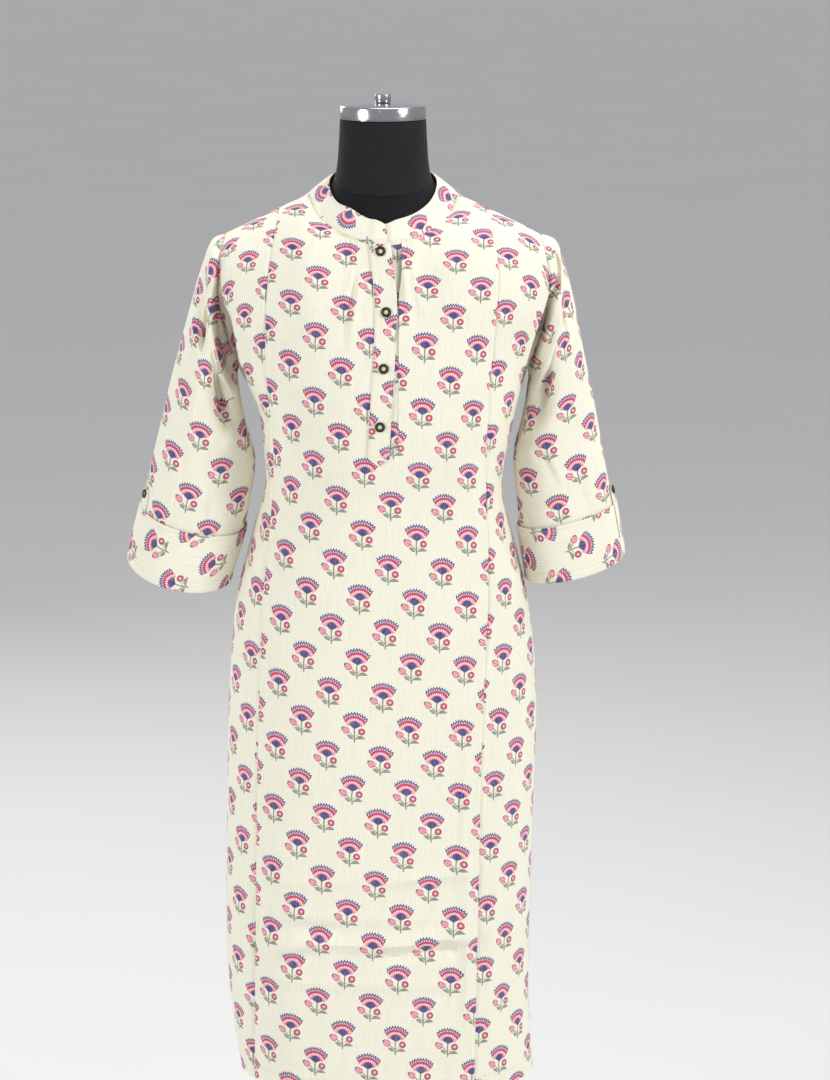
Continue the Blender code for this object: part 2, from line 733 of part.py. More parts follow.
def turned(name, profile, steps, material, collection):
    """A turned piece about +Z: profile runs from its foot on the axis, out and up to its top."""
    data = bpy.data.meshes.new(name)
    points = [(radius, 0.0, height) for radius, height in profile]
    data.from_pydata(points, [(i, i + 1) for i in range(len(points) - 1)], [])
    data.materials.append(material)
    made = bpy.data.objects.new(name, data)
    collection.objects.link(made)
    screw = made.modifiers.new("turn", "SCREW")
    screw.axis = "Z"
    screw.steps = steps
    screw.render_steps = steps
    screw.use_merge_vertices = True
    screw.merge_threshold = 1e-5
    screw.use_smooth_shade = True
    screw.use_normal_flip = True
    return made


def button_profile(radius):
    """A metal-rimmed button: flat back, round rim and a low pearly centre."""
    dome = BUTTON_DOME
    return (
        (0.0, 0.0),
        (radius * 0.92, 0.0),
        (radius, dome * 0.45),
        (radius * 0.86, dome),
        (radius * 0.60, dome * 0.85),
        (radius * 0.45, dome * 0.60),
        (0.0, dome * 0.75),
    )


def place_on(made, point, normal):
    made.location = point
    made.rotation_mode = "QUATERNION"
    made.rotation_quaternion = normal.to_track_quat("Z", "Y")


def make_placket_buttons(material, collection):
    lift = 2 * (LAY_GAP + CLOTH) + LAY_GAP
    for i, z in enumerate(BUTTON_Z):
        t = front_level_at(z)
        x = sway_x(t)
        normal = body_normal(-1, x, t)
        made = turned(
            f"placket_button_{i + 1}", button_profile(BUTTON_RADIUS), 16, material, collection
        )
        place_on(made, garment_point(-1, x, t) + normal * (lift - CLOTH), normal)


def make_sleeve(name, rings, dents, sign, material, collection):
    """The sleeve's tube, from the armhole seam to its lower end inside the cuff."""
    start = SEAM_GAP / 0.02 * 0.05
    alongs = [start, 0.03, 0.06, 0.10, 0.15, 0.21, 0.28, 0.35, 0.43, 0.51, 0.60, 0.69, 0.77, 0.85]
    alongs += [0.92, 0.995]
    angles = [2 * math.pi * j / SLEEVE_ROUND for j in range(SLEEVE_ROUND)]
    grid = [
        [
            (
                sleeve_point(rings, dents, a, along, sign),
                sleeve_normal(rings, dents, a, along, sign),
            )
            for a in angles
        ]
        for along in alongs
    ]
    wall_from_grid(name, grid, CLOTH, True, (), material, collection)


def make_cuff(name, rings, dents, sign, slit_deg, material, collection):
    """The turned-up cuff, open at its top edge where the slit runs down."""
    first, second = (math.radians(a) for a in slit_deg)
    cells = SLEEVE_ROUND
    angles = [first] + [
        blend(second, first + 2 * math.pi, j / (cells - 1)) for j in range(cells - 1)
    ]
    grid = []
    for along in (CUFF_ALONG, 0.91, SLIT_ALONG, 1.0):
        row = []
        for angle in angles:
            normal = sleeve_normal(rings, dents, angle, along, sign)
            point = sleeve_point(rings, dents, angle, along, sign)
            below = Vector((0, 0, -CUFF_BELOW)) if along == 1.0 else Vector()
            row.append((point + normal * (CUFF_LIFT + CLOTH) + below, normal))
        grid.append(row)
    skip = {(0, 0), (1, 0)}
    wall_from_grid(name, grid, CLOTH, True, skip, material, collection)


def make_tab(side, rings, dents, sign, material, button_material, collection):
    """The roll-up tab, tucked under the cuff's edge, with its button."""
    start, end = (math.radians(a) for a in TAB_DEG[side])
    grid = []
    for along in (TAB_TOP_ALONG, 0.81, 0.83, 0.853, TAB_TUCK_ALONG):
        narrow = 0.36 if along == TAB_TOP_ALONG else (0.8 if along == 0.81 else 1.0)
        row = []
        for j in range(5):
            middle, half = (start + end) / 2, (end - start) / 2
            angle = middle + half * narrow * (j / 2 - 1)
            normal = sleeve_normal(rings, dents, angle, along, sign)
            point = sleeve_point(rings, dents, angle, along, sign)
            row.append((point + normal * (LAY_GAP + TAB_CLOTH), normal))
        grid.append(row)
    wall_from_grid(f"tab_{side}", grid, TAB_CLOTH, False, (), material, collection)
    angle = (start + end) / 2
    normal = sleeve_normal(rings, dents, angle, TAB_BUTTON_ALONG, sign)
    point = sleeve_point(rings, dents, angle, TAB_BUTTON_ALONG, sign)
    made = turned(
        f"tab_button_{side}", button_profile(TAB_BUTTON_RADIUS), 16, button_material, collection
    )
    place_on(made, point + normal * (3 * LAY_GAP + TAB_CLOTH), normal)


def form_size(t):
    """The form's half width, its centre and how far it lies inside the garment's outer face."""
    if t < 1:
        half, centre = between(FORM_SHOULDER, "t", t).half_width, 0.0
    else:
        row = between(BODY, "z", level_z(t))
        settle = ease(1.0, 1.12, t)
        half = blend(FORM_SHOULDER[-1].half_width, row.half_width - FORM_HIP_INSET, settle)
        centre = row.centre * settle
    return half, centre, blend(FORM_INSET, FORM_HIP_INSET, ease(0.9, 1.25, t))


def form_level(mesh, t, turns):
    """One level of the form, from the left side round the front, then round the back."""
    half, centre, inset = form_size(t)
    ring = []
    for side in (-1, 1):
        for turn in turns:
            x = centre + half * math.sin(-side * turn)
            point = garment_point(side, x, t) - body_normal(side, x, t) * inset
            ring.append(mesh.verts.new(point))
    return ring


def neck_foot(x, side):
    """The foot of the form's neck below a place across the neckline, clear of the collar."""
    depth, end_z = (
        (NECK_FRONT_DEPTH, NECK_FRONT_Z) if side < 0 else (NECK_BACK_DEPTH, NECK_BACK_Z)
    )
    open_share = math.sqrt(1 - (x / NECK_HALF) ** 2)
    z = blend(NECK_SIDE_Z, end_z, open_share) - FORM_NECK_INSET / 2
    across = x * (1 - FORM_NECK_INSET / NECK_HALF)
    return Vector((across, side * (depth - FORM_NECK_INSET) * open_share, z))


def form_top(mesh, turns, ridge):
    """The form's top line: the shoulder ridges, shared by front and back, and the neck's foot."""
    top = {}
    last = len(turns) - 1
    for side in (-1, 1):
        for j, turn in enumerate(turns):
            on_ridge = j <= ridge or j >= last - ridge
            if on_ridge and side > 0:
                top[(side, j)] = top[(-1, last - j)]
                continue
            x = form_size(0.0)[0] * math.sin(-side * turn)
            if on_ridge:
                deeper = FORM_CORNER_INSET if j in (ridge, last - ridge) else FORM_RIDGE_INSET
                place = garment_point(side, x, 0.0) - Vector((0, 0, deeper))
            else:
                place = neck_foot(x, side)
            top[(side, j)] = mesh.verts.new(place)
    return top


def form_neck(mesh, loop):
    """The neck, ring by ring, from its foot to its flat top."""
    below = loop
    for row in FORM_NECK:
        ring = []
        for j in range(len(loop)):
            turn = 2 * math.pi * j / len(loop) - math.pi / 2
            front = math.cos(turn) > 0
            depth, end_z = (row.front_y, row.front_z) if front else (row.back_y, row.back_z)
            z = blend(row.side_z, end_z, abs(math.cos(turn)))
            place = (row.side_x * math.sin(turn), -depth * math.cos(turn), z)
            ring.append(mesh.verts.new(place))
        for j in range(len(loop)):
            k = (j + 1) % len(loop)
            mesh.faces.new((ring[j], ring[k], below[k], below[j]))
        below = ring
    mesh.faces.new(below)


def make_form(material, collection):
    """The limbless form: torso, closed armhole plates and underside, and the neck, in one body."""
    ridge, across_neck = 4, 10
    corner = math.asin(NECK_HALF / FORM_SHOULDER[0].half_width)
    inside = [
        math.asin(math.sin(corner) * math.sin(turn))
        for turn in shares_between(-math.pi / 2, math.pi / 2, across_neck)
    ]
    turns = shares_between(-math.pi / 2, -corner, ridge)[:-1] + inside
    turns += shares_between(corner, math.pi / 2, ridge)[1:]
    bottom_t = level_at(FORM_BOTTOM_Z)
    levels = [t for t in body_levels(TOP_LEVEL)[1:] if t < bottom_t - 0.02] + [bottom_t]
    mesh = bmesh.new()
    rings = [form_level(mesh, t, turns) for t in levels]
    count = len(rings[0])
    for upper, lower in zip(rings, rings[1:]):
        for j in range(count):
            k = (j + 1) % count
            mesh.faces.new((upper[j], upper[k], lower[k], lower[j]))
    mesh.faces.new(rings[-1])
    top = form_top(mesh, turns, ridge)
    last = len(turns) - 1
    for s, side in enumerate((-1, 1)):
        for j in range(last):
            a = s * len(turns) + j
            mesh.faces.new((top[(side, j)], top[(side, j + 1)], rings[0][a + 1], rings[0][a]))
    mesh.faces.new((top[(-1, last)], rings[0][last + 1], rings[0][last]))
    mesh.faces.new((top[(-1, 0)], rings[0][0], rings[0][-1]))
    loop = [top[(-1, j)] for j in range(ridge, last - ridge + 1)]
    loop += [top[(1, j)] for j in range(ridge + 1, last - ridge)]
    form_neck(mesh, loop)
    add_object("form_torso", mesh, material, collection)


def make_stand(chrome, enamel, collection):
    neck_top = FORM_NECK[-1].side_z
    foot = neck_top + SEAM_GAP
    profile = (
        (0.0, foot),
        (CAP_RADIUS, foot),
        (CAP_RADIUS, foot + CAP_HEIGHT - 0.002),
        (CAP_RADIUS - 0.002, foot + CAP_HEIGHT),
        (CAP_RADIUS * 0.5, foot + CAP_HEIGHT + CAP_DOME * 0.75),
        (0.0, foot + CAP_HEIGHT + CAP_DOME),
    )
    turned("neck_cap", profile, 40, chrome, collection)
    seat = foot + CAP_HEIGHT + CAP_DOME + SEAM_GAP
    profile = (
        (0.0, seat),
        (KNOB_RADIUS, seat),
        (KNOB_RADIUS, seat + KNOB_HEIGHT - 0.002),
        (KNOB_RADIUS - 0.002, seat + KNOB_HEIGHT),
        (0.0, seat + KNOB_HEIGHT),
    )
    turned("cap_knob", profile, 20, chrome, collection)
    top = BASE_THICK + BASE_BOSS_HEIGHT
    profile = (
        (0.0, 0.0),
        (BASE_RADIUS - 0.002, 0.0),
        (BASE_RADIUS, 0.002),
        (BASE_RADIUS, BASE_THICK - 0.003),
        (BASE_RADIUS - 0.004, BASE_THICK),
        (BASE_BOSS_RADIUS + 0.006, BASE_THICK + 0.002),
        (BASE_BOSS_RADIUS, BASE_THICK + 0.006),
        (BASE_BOSS_RADIUS - 0.006, top),
        (0.0, top),
    )
    turned("base_plate", profile, 48, enamel, collection)
    low, high = top + SEAM_GAP, FORM_BOTTOM_Z - SEAM_GAP
    profile = ((0.0, low), (POLE_RADIUS, low), (POLE_RADIUS, high), (0.0, high))
    turned("pole", profile, 24, chrome, collection)


def main():
    collection = clear_scene()
    cotton = finish_material("printed_cotton", (0.87, 0.85, 0.76), 0.85)
    button = finish_material("bronze_and_pearl", (0.30, 0.25, 0.16), 0.45, 0.6)
    form = finish_material("form_cloth", (0.02, 0.022, 0.025), 0.8)
    chrome = finish_material("chrome", (0.75, 0.75, 0.76), 0.15, 1.0)
    enamel = finish_material("base_enamel", (0.05, 0.05, 0.055), 0.4)
    make_front_centre(cotton, collection)
    make_front_side("front_side_left", False, cotton, collection)
    make_front_side("front_side_right", True, cotton, collection)
    make_back(cotton, collection)
    make_collar(cotton, collection)
    make_placket(cotton, collection)
    make_placket_buttons(button, collection)
    for side, rings, dents, sign in (
        ("left", SLEEVE_LEFT, DENTS_LEFT, -1),
        ("right", SLEEVE_RIGHT, DENTS_RIGHT, 1),
    ):
        make_sleeve(f"sleeve_{side}", rings, dents, sign, cotton, collection)
        make_cuff(f"cuff_{side}", rings, dents, sign, CUFF_SLIT_DEG[side], cotton, collection)
        make_tab(side, rings, dents, sign, cotton, button, collection)
    make_form(form, collection)
    make_stand(chrome, enamel, collection)


main()
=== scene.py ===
"""The finishes and the sewn detail of a kurta tunic on its dress form.

Metres, +Z up, the wearer's front at -Y. Each sheet of cloth is laid over the surface that its
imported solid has, and carries a chart of the printed repeat in its "print" map.
"""

import math
from collections import namedtuple
from functools import lru_cache

import bpy
from bpy.props import FloatProperty, FloatVectorProperty, IntProperty, PointerProperty
from mathutils import Matrix, Vector, noise


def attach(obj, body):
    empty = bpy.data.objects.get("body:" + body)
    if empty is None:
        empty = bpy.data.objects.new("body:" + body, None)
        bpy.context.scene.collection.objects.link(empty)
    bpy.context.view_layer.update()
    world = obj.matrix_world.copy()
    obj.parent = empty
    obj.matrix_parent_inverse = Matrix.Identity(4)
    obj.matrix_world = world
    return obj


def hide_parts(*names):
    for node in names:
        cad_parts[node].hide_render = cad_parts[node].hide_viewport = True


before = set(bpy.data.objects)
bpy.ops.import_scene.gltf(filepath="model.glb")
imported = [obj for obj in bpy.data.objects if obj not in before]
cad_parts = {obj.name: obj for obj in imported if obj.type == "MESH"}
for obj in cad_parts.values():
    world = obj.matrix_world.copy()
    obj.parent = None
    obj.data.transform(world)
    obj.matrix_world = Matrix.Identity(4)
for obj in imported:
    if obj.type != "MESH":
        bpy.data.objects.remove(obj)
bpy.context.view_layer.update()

bl_info = {
    "name": "Kurta tunic on a dress form",
    "version": (1, 0, 0),
    "blender": (4, 5, 0),
    "location": "View3D > Sidebar > Kurta",
    "description": "Sews, prints and finishes the kurta over its packed solids",
    "category": "Object",
}

# Walls and gaps
CLOTH = 0.0015
SEAM_GAP = 0.0004
LAY_GAP = 0.0004

# Neck, shoulder and armhole of the garment
SHOULDER_HALF = 0.187
SHOULDER_TIP_Z = 1.355
NECK_HALF = 0.087
NECK_SIDE_Z = 1.403
NECK_FRONT_DEPTH = 0.095
NECK_FRONT_Z = 1.355
NECK_BACK_DEPTH = 0.066
NECK_BACK_Z = 1.410
CHEST_SWELL = 0.6
BLADE_SWELL = 1.2
NECK_SOFT_LEVEL = 0.30
NECK_SOFT_WIDER = 0.25
NECK_SOFT_POWER = 0.30
UNDERARM_Z = 1.195
UNDERARM_HALF = 0.172
ARMHOLE_BULGE = 0.0145
ARMHOLE_FRONT = 0.060
ARMHOLE_BACK = 0.066
HEM_Z = 0.325
SLIT_TOP_Z = 0.594
SLIT_SPREAD = 0.016
SLIT_STITCH_TURN = 0.010 / 0.118

# The body below the underarm, a row for each level
Section = namedtuple("Section", "z half_width centre front back squareness")
BODY = (
    Section(1.195, 0.172, 0.000, 0.132, 0.100, 2.2),
    Section(1.150, 0.155, 0.005, 0.1345, 0.0985, 2.2),
    Section(1.105, 0.147, 0.003, 0.1310, 0.0900, 2.2),
    Section(1.058, 0.142, 0.001, 0.123, 0.080, 2.2),
    Section(1.020, 0.148, -0.001, 0.119, 0.084, 2.3),
    Section(0.965, 0.162, -0.001, 0.119, 0.096, 2.4),
    Section(0.910, 0.175, -0.001, 0.121, 0.108, 2.4),
    Section(0.835, 0.184, 0.000, 0.124, 0.117, 2.4),
    Section(0.760, 0.187, -0.001, 0.125, 0.120, 2.4),
    Section(0.645, 0.1865, -0.004, 0.125, 0.119, 2.4),
    Section(0.530, 0.186, -0.006, 0.124, 0.117, 2.4),
    Section(0.430, 0.184, -0.005, 0.122, 0.115, 2.4),
    Section(0.372, 0.182, 0.000, 0.121, 0.113, 2.4),
    Section(HEM_Z, 0.180, 0.005, 0.120, 0.112, 2.4),
)

# The two princess seams of the front, left and right in the picture
Seam = namedtuple("Seam", "z left right")
PRINCESS = (
    Seam(1.386, -0.124, 0.124),
    Seam(1.320, -0.133, 0.135),
    Seam(1.231, -0.138, 0.130),
    Seam(1.186, -0.137, 0.125),
    Seam(1.111, -0.131, 0.123),
    Seam(1.045, -0.133, 0.123),
    Seam(0.931, -0.143, 0.124),
    Seam(0.759, -0.150, 0.118),
    Seam(0.565, -0.154, 0.115),
    Seam(HEM_Z, -0.158, 0.111),
)

# Long soft folds of the skirt, in the side fronts and the back as well as the centre
Fold = namedtuple("Fold", "side x top_z bottom_z width height")
FOLDS = (
    Fold(-1, 0.096, 0.80, 0.20, 0.020, 0.0035),
    Fold(-1, 0.072, 0.62, 0.20, 0.014, -0.0030),
    Fold(-1, -0.118, 0.66, 0.20, 0.020, 0.0035),
    Fold(-1, -0.150, 0.66, 0.20, 0.014, -0.0050),
    Fold(-1, -0.040, 0.55, 0.20, 0.030, -0.0020),
    Fold(-1, -0.080, 1.12, 0.93, 0.026, -0.0025),
    Fold(-1, 0.085, 1.12, 0.93, 0.026, -0.0025),
    Fold(1, 0.000, 1.20, 0.92, 0.034, -0.0050),
    Fold(1, 0.075, 0.86, 0.20, 0.026, 0.0050),
    Fold(1, -0.070, 0.80, 0.20, 0.030, 0.0050),
    Fold(1, 0.010, 0.74, 0.20, 0.024, -0.0040),
    Fold(1, 0.125, 0.72, 0.20, 0.020, -0.0040),
    Fold(1, -0.125, 0.76, 0.20, 0.022, -0.0040),
)
FOLD_FADE = 0.14

# Gathers below the collar, a ridge for each
Gather = namedtuple("Gather", "x height length")
GATHERS = (
    Gather(-0.042, 0.0014, 0.052),
    Gather(-0.036, 0.0018, 0.066),
    Gather(-0.030, 0.0014, 0.044),
    Gather(0.0225, 0.0018, 0.040),
    Gather(0.0285, 0.0020, 0.048),
    Gather(0.0345, 0.0018, 0.042),
)
GATHER_WIDTH = 0.0017

# The slit for the placket, and its two strips
SLIT_LEFT = -0.014
SLIT_RIGHT = 0.018
SLIT_BOTTOM_Z = 1.118
OVER_HALF = 0.0125
OVER_BOTTOM_Z = 1.108
OVER_POINT = 0.010
OVER_LIFT = LAY_GAP + CLOTH + 0.0002
UNDER_LEFT = -0.0120
# The upper strip sways as it hangs: where its middle lies, down the front
Sway = namedtuple("Sway", "z x")
OVER_SWAY = (
    Sway(1.366, -0.0050),
    Sway(1.326, -0.0008),
    Sway(1.285, 0.0034),
    Sway(1.228, 0.0015),
    Sway(1.155, -0.0030),
    Sway(1.104, -0.0052),
)
BUTTON_Z = (1.345, 1.277, 1.213, 1.146)
BUTTON_RADIUS = 0.0060
BUTTON_DOME = 0.0018

# The collar: its foot follows the neckline and its top leans in
COLLAR_TOP_HALF = 0.0635
COLLAR_TOP_SIDE_Z = 1.4165
COLLAR_TOP_FRONT_DEPTH = 0.079
COLLAR_TOP_FRONT_Z = 1.3790
COLLAR_TOP_BACK_DEPTH = 0.0535
COLLAR_TOP_BACK_Z = 1.4370
COLLAR_START = math.radians(-5)
COLLAR_END = math.radians(3.2)
COLLAR_LAP = math.radians(9)

# Sleeves: outer and inner edge of each ring, and its depth to the front and the back
Ring = namedtuple("Ring", "along outer_x outer_z inner_x inner_z front back bulge drop")
SLEEVE_RIGHT = (
    Ring(0.00, 0.187, 1.355, 0.172, 1.195, 0.060, 0.066, 0.0145, 0.000),
    Ring(0.05, 0.205, 1.347, 0.174, 1.184, 0.062, 0.067, 0.0140, 0.000),
    Ring(0.11, 0.214, 1.325, 0.172, 1.170, 0.063, 0.066, 0.0120, 0.000),
    Ring(0.23, 0.226, 1.280, 0.169, 1.148, 0.062, 0.063, 0.0080, 0.000),
    Ring(0.38, 0.238, 1.222, 0.164, 1.125, 0.058, 0.058, 0.0040, 0.000),
    Ring(0.52, 0.250, 1.165, 0.158, 1.100, 0.054, 0.054, 0.0000, 0.000),
    Ring(0.67, 0.262, 1.105, 0.157, 1.070, 0.050, 0.050, 0.0000, 0.002),
    Ring(0.80, 0.272, 1.055, 0.162, 1.032, 0.047, 0.047, 0.0000, 0.005),
    Ring(0.86, 0.277, 1.034, 0.164, 1.005, 0.046, 0.046, 0.0000, 0.006),
    Ring(1.00, 0.288, 0.974, 0.174, 0.945, 0.045, 0.045, 0.0000, 0.008),
)
SLEEVE_LEFT = (
    Ring(0.00, 0.187, 1.355, 0.172, 1.195, 0.060, 0.066, 0.0145, 0.000),
    Ring(0.05, 0.203, 1.348, 0.174, 1.184, 0.062, 0.067, 0.0140, 0.000),
    Ring(0.11, 0.2125, 1.326, 0.172, 1.170, 0.063, 0.066, 0.0120, 0.000),
    Ring(0.23, 0.226, 1.280, 0.169, 1.148, 0.062, 0.063, 0.0080, 0.000),
    Ring(0.38, 0.242, 1.222, 0.164, 1.127, 0.058, 0.058, 0.0040, 0.000),
    Ring(0.52, 0.257, 1.165, 0.158, 1.107, 0.055, 0.054, 0.0000, 0.000),
    Ring(0.67, 0.271, 1.105, 0.153, 1.080, 0.051, 0.050, 0.0000, 0.004),
    Ring(0.80, 0.283, 1.055, 0.158, 1.042, 0.048, 0.047, 0.0000, 0.012),
    Ring(0.86, 0.289, 1.030, 0.166, 1.004, 0.047, 0.046, 0.0000, 0.015),
    Ring(1.00, 0.305, 0.968, 0.185, 0.946, 0.046, 0.045, 0.0000, 0.020),
)
# Deep folds of the sleeves: where round the ring, between which stretches, how wide and deep
Dent = namedtuple("Dent", "round_deg start end width_deg depth")
DENTS_RIGHT = (
    Dent(52, 0.02, 0.26, 15, 0.15),
    Dent(118, 0.10, 0.52, 24, 0.20),
    Dent(250, 0.05, 0.45, 24, 0.16),
    Dent(70, 0.45, 0.90, 20, 0.08),
)
DENTS_LEFT = (
    Dent(58, 0.01, 0.28, 16, 0.20),
    Dent(122, 0.10, 0.55, 26, 0.24),
    Dent(255, 0.05, 0.45, 24, 0.16),
    Dent(125, 0.55, 0.84, 22, 0.08),
)

CUFF_ALONG = 0.86
CUFF_LIFT = 0.0024
SLIT_ALONG = 0.957
CUFF_SLIT_DEG = {"right": (20.0, 22.6), "left": (-12.0, -9.4)}
TAB_DEG = {"right": (-3.0, 17.0), "left": (4.0, 24.0)}
TAB_TOP_ALONG = 0.800
TAB_TUCK_ALONG = 0.875
TAB_CLOTH = 0.0012
TAB_LIFT = LAY_GAP + TAB_CLOTH + 0.0008
TAB_BUTTON_ALONG = 0.822
TAB_BUTTON_RADIUS = 0.0055

# The dress form and its stand
FORM_BOTTOM_Z = 0.800
NeckRing = namedtuple("NeckRing", "side_x side_z front_y front_z back_y back_z")
FORM_NECK = (
    NeckRing(0.0625, 1.4100, 0.0765, 1.3730, 0.0515, 1.4215),
    NeckRing(0.0565, 1.4215, 0.0625, 1.4000, 0.0480, 1.4350),
    NeckRing(0.0530, 1.4400, 0.0555, 1.4300, 0.0470, 1.4480),
    NeckRing(0.0512, 1.4650, 0.0520, 1.4620, 0.0480, 1.4670),
    NeckRing(0.0500, 1.4900, 0.0500, 1.4900, 0.0500, 1.4900),
)
CAP_RADIUS = 0.0508
CAP_HEIGHT = 0.0165
CAP_DOME = 0.0030
KNOB_RADIUS = 0.0095
KNOB_HEIGHT = 0.0095
POLE_RADIUS = 0.016
BASE_RADIUS = 0.175
BASE_THICK = 0.010
BASE_BOSS_RADIUS = 0.030
BASE_BOSS_HEIGHT = 0.022


def blend(a, b, share):
    return a + (b - a) * share


def ease(low, high, value):
    """0 below low, 1 above high, and smooth between."""
    share = min(1.0, max(0.0, (value - low) / (high - low)))
    return share * share * (3 - 2 * share)


def bell(away, width):
    """1 at a place, and falling off smoothly on both sides of it."""
    return math.exp(-((away / width) ** 2))


def spaced(first, last, count):
    """Evenly spaced values from the first to the last, in so many steps."""
    return [blend(first, last, i / count) for i in range(count + 1)]


def curve(share, start, end, leave, reach):
    """A value on the way from start to end that leaves and reaches them at given slopes."""
    return (
        (2 * share**3 - 3 * share**2 + 1) * start
        + (share**3 - 2 * share**2 + share) * leave
        + (3 * share**2 - 2 * share**3) * end
        + (share**3 - share**2) * reach
    )


def between(rows, key, value):
    """Every column of a table at one value of its key column, on a smooth curve."""
    keys = [getattr(row, key) for row in rows]
    if keys[0] > keys[-1]:
        rows = rows[::-1]
        keys = keys[::-1]
    value = min(max(value, keys[0]), keys[-1])
    low = 0
    while low < len(rows) - 2 and keys[low + 1] < value:
        low += 1
    step = keys[low + 1] - keys[low]
    share = (value - keys[low]) / step

    def slope(column, i):
        before, after = max(i - 1, 0), min(i + 1, len(rows) - 1)
        rise = rows[after][column] - rows[before][column]
        return rise / (keys[after] - keys[before])

    found = []
    for column in range(len(rows[0])):
        start, end = rows[low][column], rows[low + 1][column]
        leave, reach = slope(column, low) * step, slope(column, low + 1) * step
        found.append(curve(share, start, end, leave, reach))
    return type(rows[0])(*found)


def armhole_x(angle):
    """How far out the armhole seam lies, from its top (0) to the underarm (pi)."""
    middle = (SHOULDER_HALF + UNDERARM_HALF) / 2
    return (
        middle
        + (SHOULDER_HALF - middle) * math.cos(angle)
        + ARMHOLE_BULGE * math.sin(angle) ** 2
    )


def level_z(t):
    """Height of the side at a level: 0 is the shoulder, 1 the underarm and 2 the hem."""
    if t < 1:
        fall = (1 - math.cos(math.pi * t)) / 2
        return blend(SHOULDER_TIP_Z, UNDERARM_Z, fall)
    return blend(UNDERARM_Z, HEM_Z, t - 1)


def level_at(z):
    """The level below the underarm that lies at this height."""
    return 1 + (UNDERARM_Z - z) / (UNDERARM_Z - HEM_Z)


def front_level_at(z):
    """The level whose centre front lies at this height."""
    if z < UNDERARM_Z:
        return level_at(z)
    fall = (NECK_FRONT_Z - z) / (NECK_FRONT_Z - UNDERARM_Z)
    return math.acos(1 - 2 * fall) / math.pi


def half_and_centre(t):
    if t < 1:
        return armhole_x(math.pi * t), 0.0
    row = between(BODY, "z", level_z(t))
    return row.half_width, row.centre


def fold_height(side, x, z):
    """How far the cloth stands out of its plain surface, in long soft folds."""
    height = 0.0
    for fold in FOLDS:
        if fold.side != side:
            continue
        reach = ease(fold.top_z, fold.top_z - FOLD_FADE, z) if z < fold.top_z else 0.0
        reach *= ease(fold.bottom_z, fold.bottom_z + FOLD_FADE, z)
        height += fold.height * reach * bell(x - fold.x, fold.width)
    return height


def gather_height(x, t):
    """How far the small gathers stand out, below the collar."""
    fallen = (NECK_FRONT_Z - UNDERARM_Z) * (1 - math.cos(math.pi * min(t, 1.0))) / 2
    height = 0.0
    for gather in GATHERS:
        near = bell(x - gather.x, GATHER_WIDTH)
        height += gather.height * near * (1 - ease(0.0, gather.length, fallen))
    return height


def front_z(t):
    """Height of the centre front at a level."""
    if t < 1:
        return blend(NECK_FRONT_Z, UNDERARM_Z, (1 - math.cos(math.pi * t)) / 2)
    return level_z(t)


def sway_x(t):
    return between(OVER_SWAY, "z", front_z(t)).x


def garment_point(side, x, t):
    """A point of the garment's outer face: side -1 is the front and 1 the back."""
    half, centre = half_and_centre(t)
    share = min(1.0, abs(x - centre) / half)
    if t >= 1:
        z = level_z(t)
        row = between(BODY, "z", z)
        depth = row.front if side < 0 else row.back
        y = depth * (1 - share**row.squareness) ** (1 / row.squareness)
        return Vector((x, side * (y + fold_height(side, x, z)), z))
    chest = BODY[0]
    depth = chest.front if side < 0 else chest.back
    fall = (1 - math.cos(math.pi * t)) / 2
    top_x = share * SHOULDER_HALF
    neck_depth = NECK_FRONT_DEPTH if side < 0 else NECK_BACK_DEPTH
    neck_z = NECK_FRONT_Z if side < 0 else NECK_BACK_Z
    # The neckline is half an ellipse, and its corner at the shoulder softens further down
    soft = ease(0.0, NECK_SOFT_LEVEL, t)
    wide = NECK_HALF * (1 + NECK_SOFT_WIDER * soft)
    open_share = max(0.0, 1 - (top_x / wide) ** 2) ** (0.5 + NECK_SOFT_POWER * soft)
    top_y = neck_depth * open_share
    slope_share = max(0.0, top_x - NECK_HALF) / (SHOULDER_HALF - NECK_HALF)
    top_z = blend(blend(NECK_SIDE_Z, SHOULDER_TIP_Z, slope_share), neck_z, open_share)
    rounded = math.sqrt(1 - (1 - fall) ** 3)
    swell = CHEST_SWELL if side < 0 else BLADE_SWELL
    plain = fall * (1 + swell * (1 - fall))
    forward = blend(plain, rounded, ease(0.03, NECK_HALF, top_x))
    power = blend(0.75, 1 / chest.squareness, ease(0.45, 1.0, t))
    chest_y = depth * (1 - share**chest.squareness) ** power
    armhole = (ARMHOLE_FRONT if side < 0 else ARMHOLE_BACK) * math.sin(math.pi * t)
    y = blend(top_y, chest_y, forward) + armhole * share ** blend(4, 16, ease(0.5, 1.0, t))
    if side < 0:
        y += gather_height(x, t)
    z = blend(top_z, UNDERARM_Z, fall)
    return Vector((x, side * y, z))


def sleeve_point(arm, angle, along):
    """A point of a sleeve's outer face: angle 0 is its outer side and 90 degrees its front."""
    ring = between(arm.rings, "along", along)
    reach = 1.0
    for dent in arm.dents:
        away = (math.degrees(angle) - dent.round_deg + 180) % 360 - 180
        fade = ease(dent.start, blend(dent.start, dent.end, 0.4), along)
        fade *= 1 - ease(blend(dent.start, dent.end, 0.6), dent.end, along)
        reach -= dent.depth * fade * bell(away, dent.width_deg)
    cosine, sine = math.cos(angle) * reach, math.sin(angle)
    depth = (ring.front if sine > 0 else ring.back) * sine * reach
    fall = ring.drop * (sine if sine > 0 else 0.5 * sine)
    x = (ring.outer_x + ring.inner_x) / 2 + (ring.outer_x - ring.inner_x) / 2 * cosine
    z = (ring.outer_z + ring.inner_z) / 2 + (ring.outer_z - ring.inner_z) / 2 * cosine
    return Vector((arm.sign * (x + ring.bulge * sine**2), -depth, z - fall))


def turn_of(x, t):
    """The angle round the body of a place across it, 0 at the centre and 90 at the side."""
    half, centre = half_and_centre(t)
    return math.asin(max(-1.0, min(1.0, (x - centre) / half)))


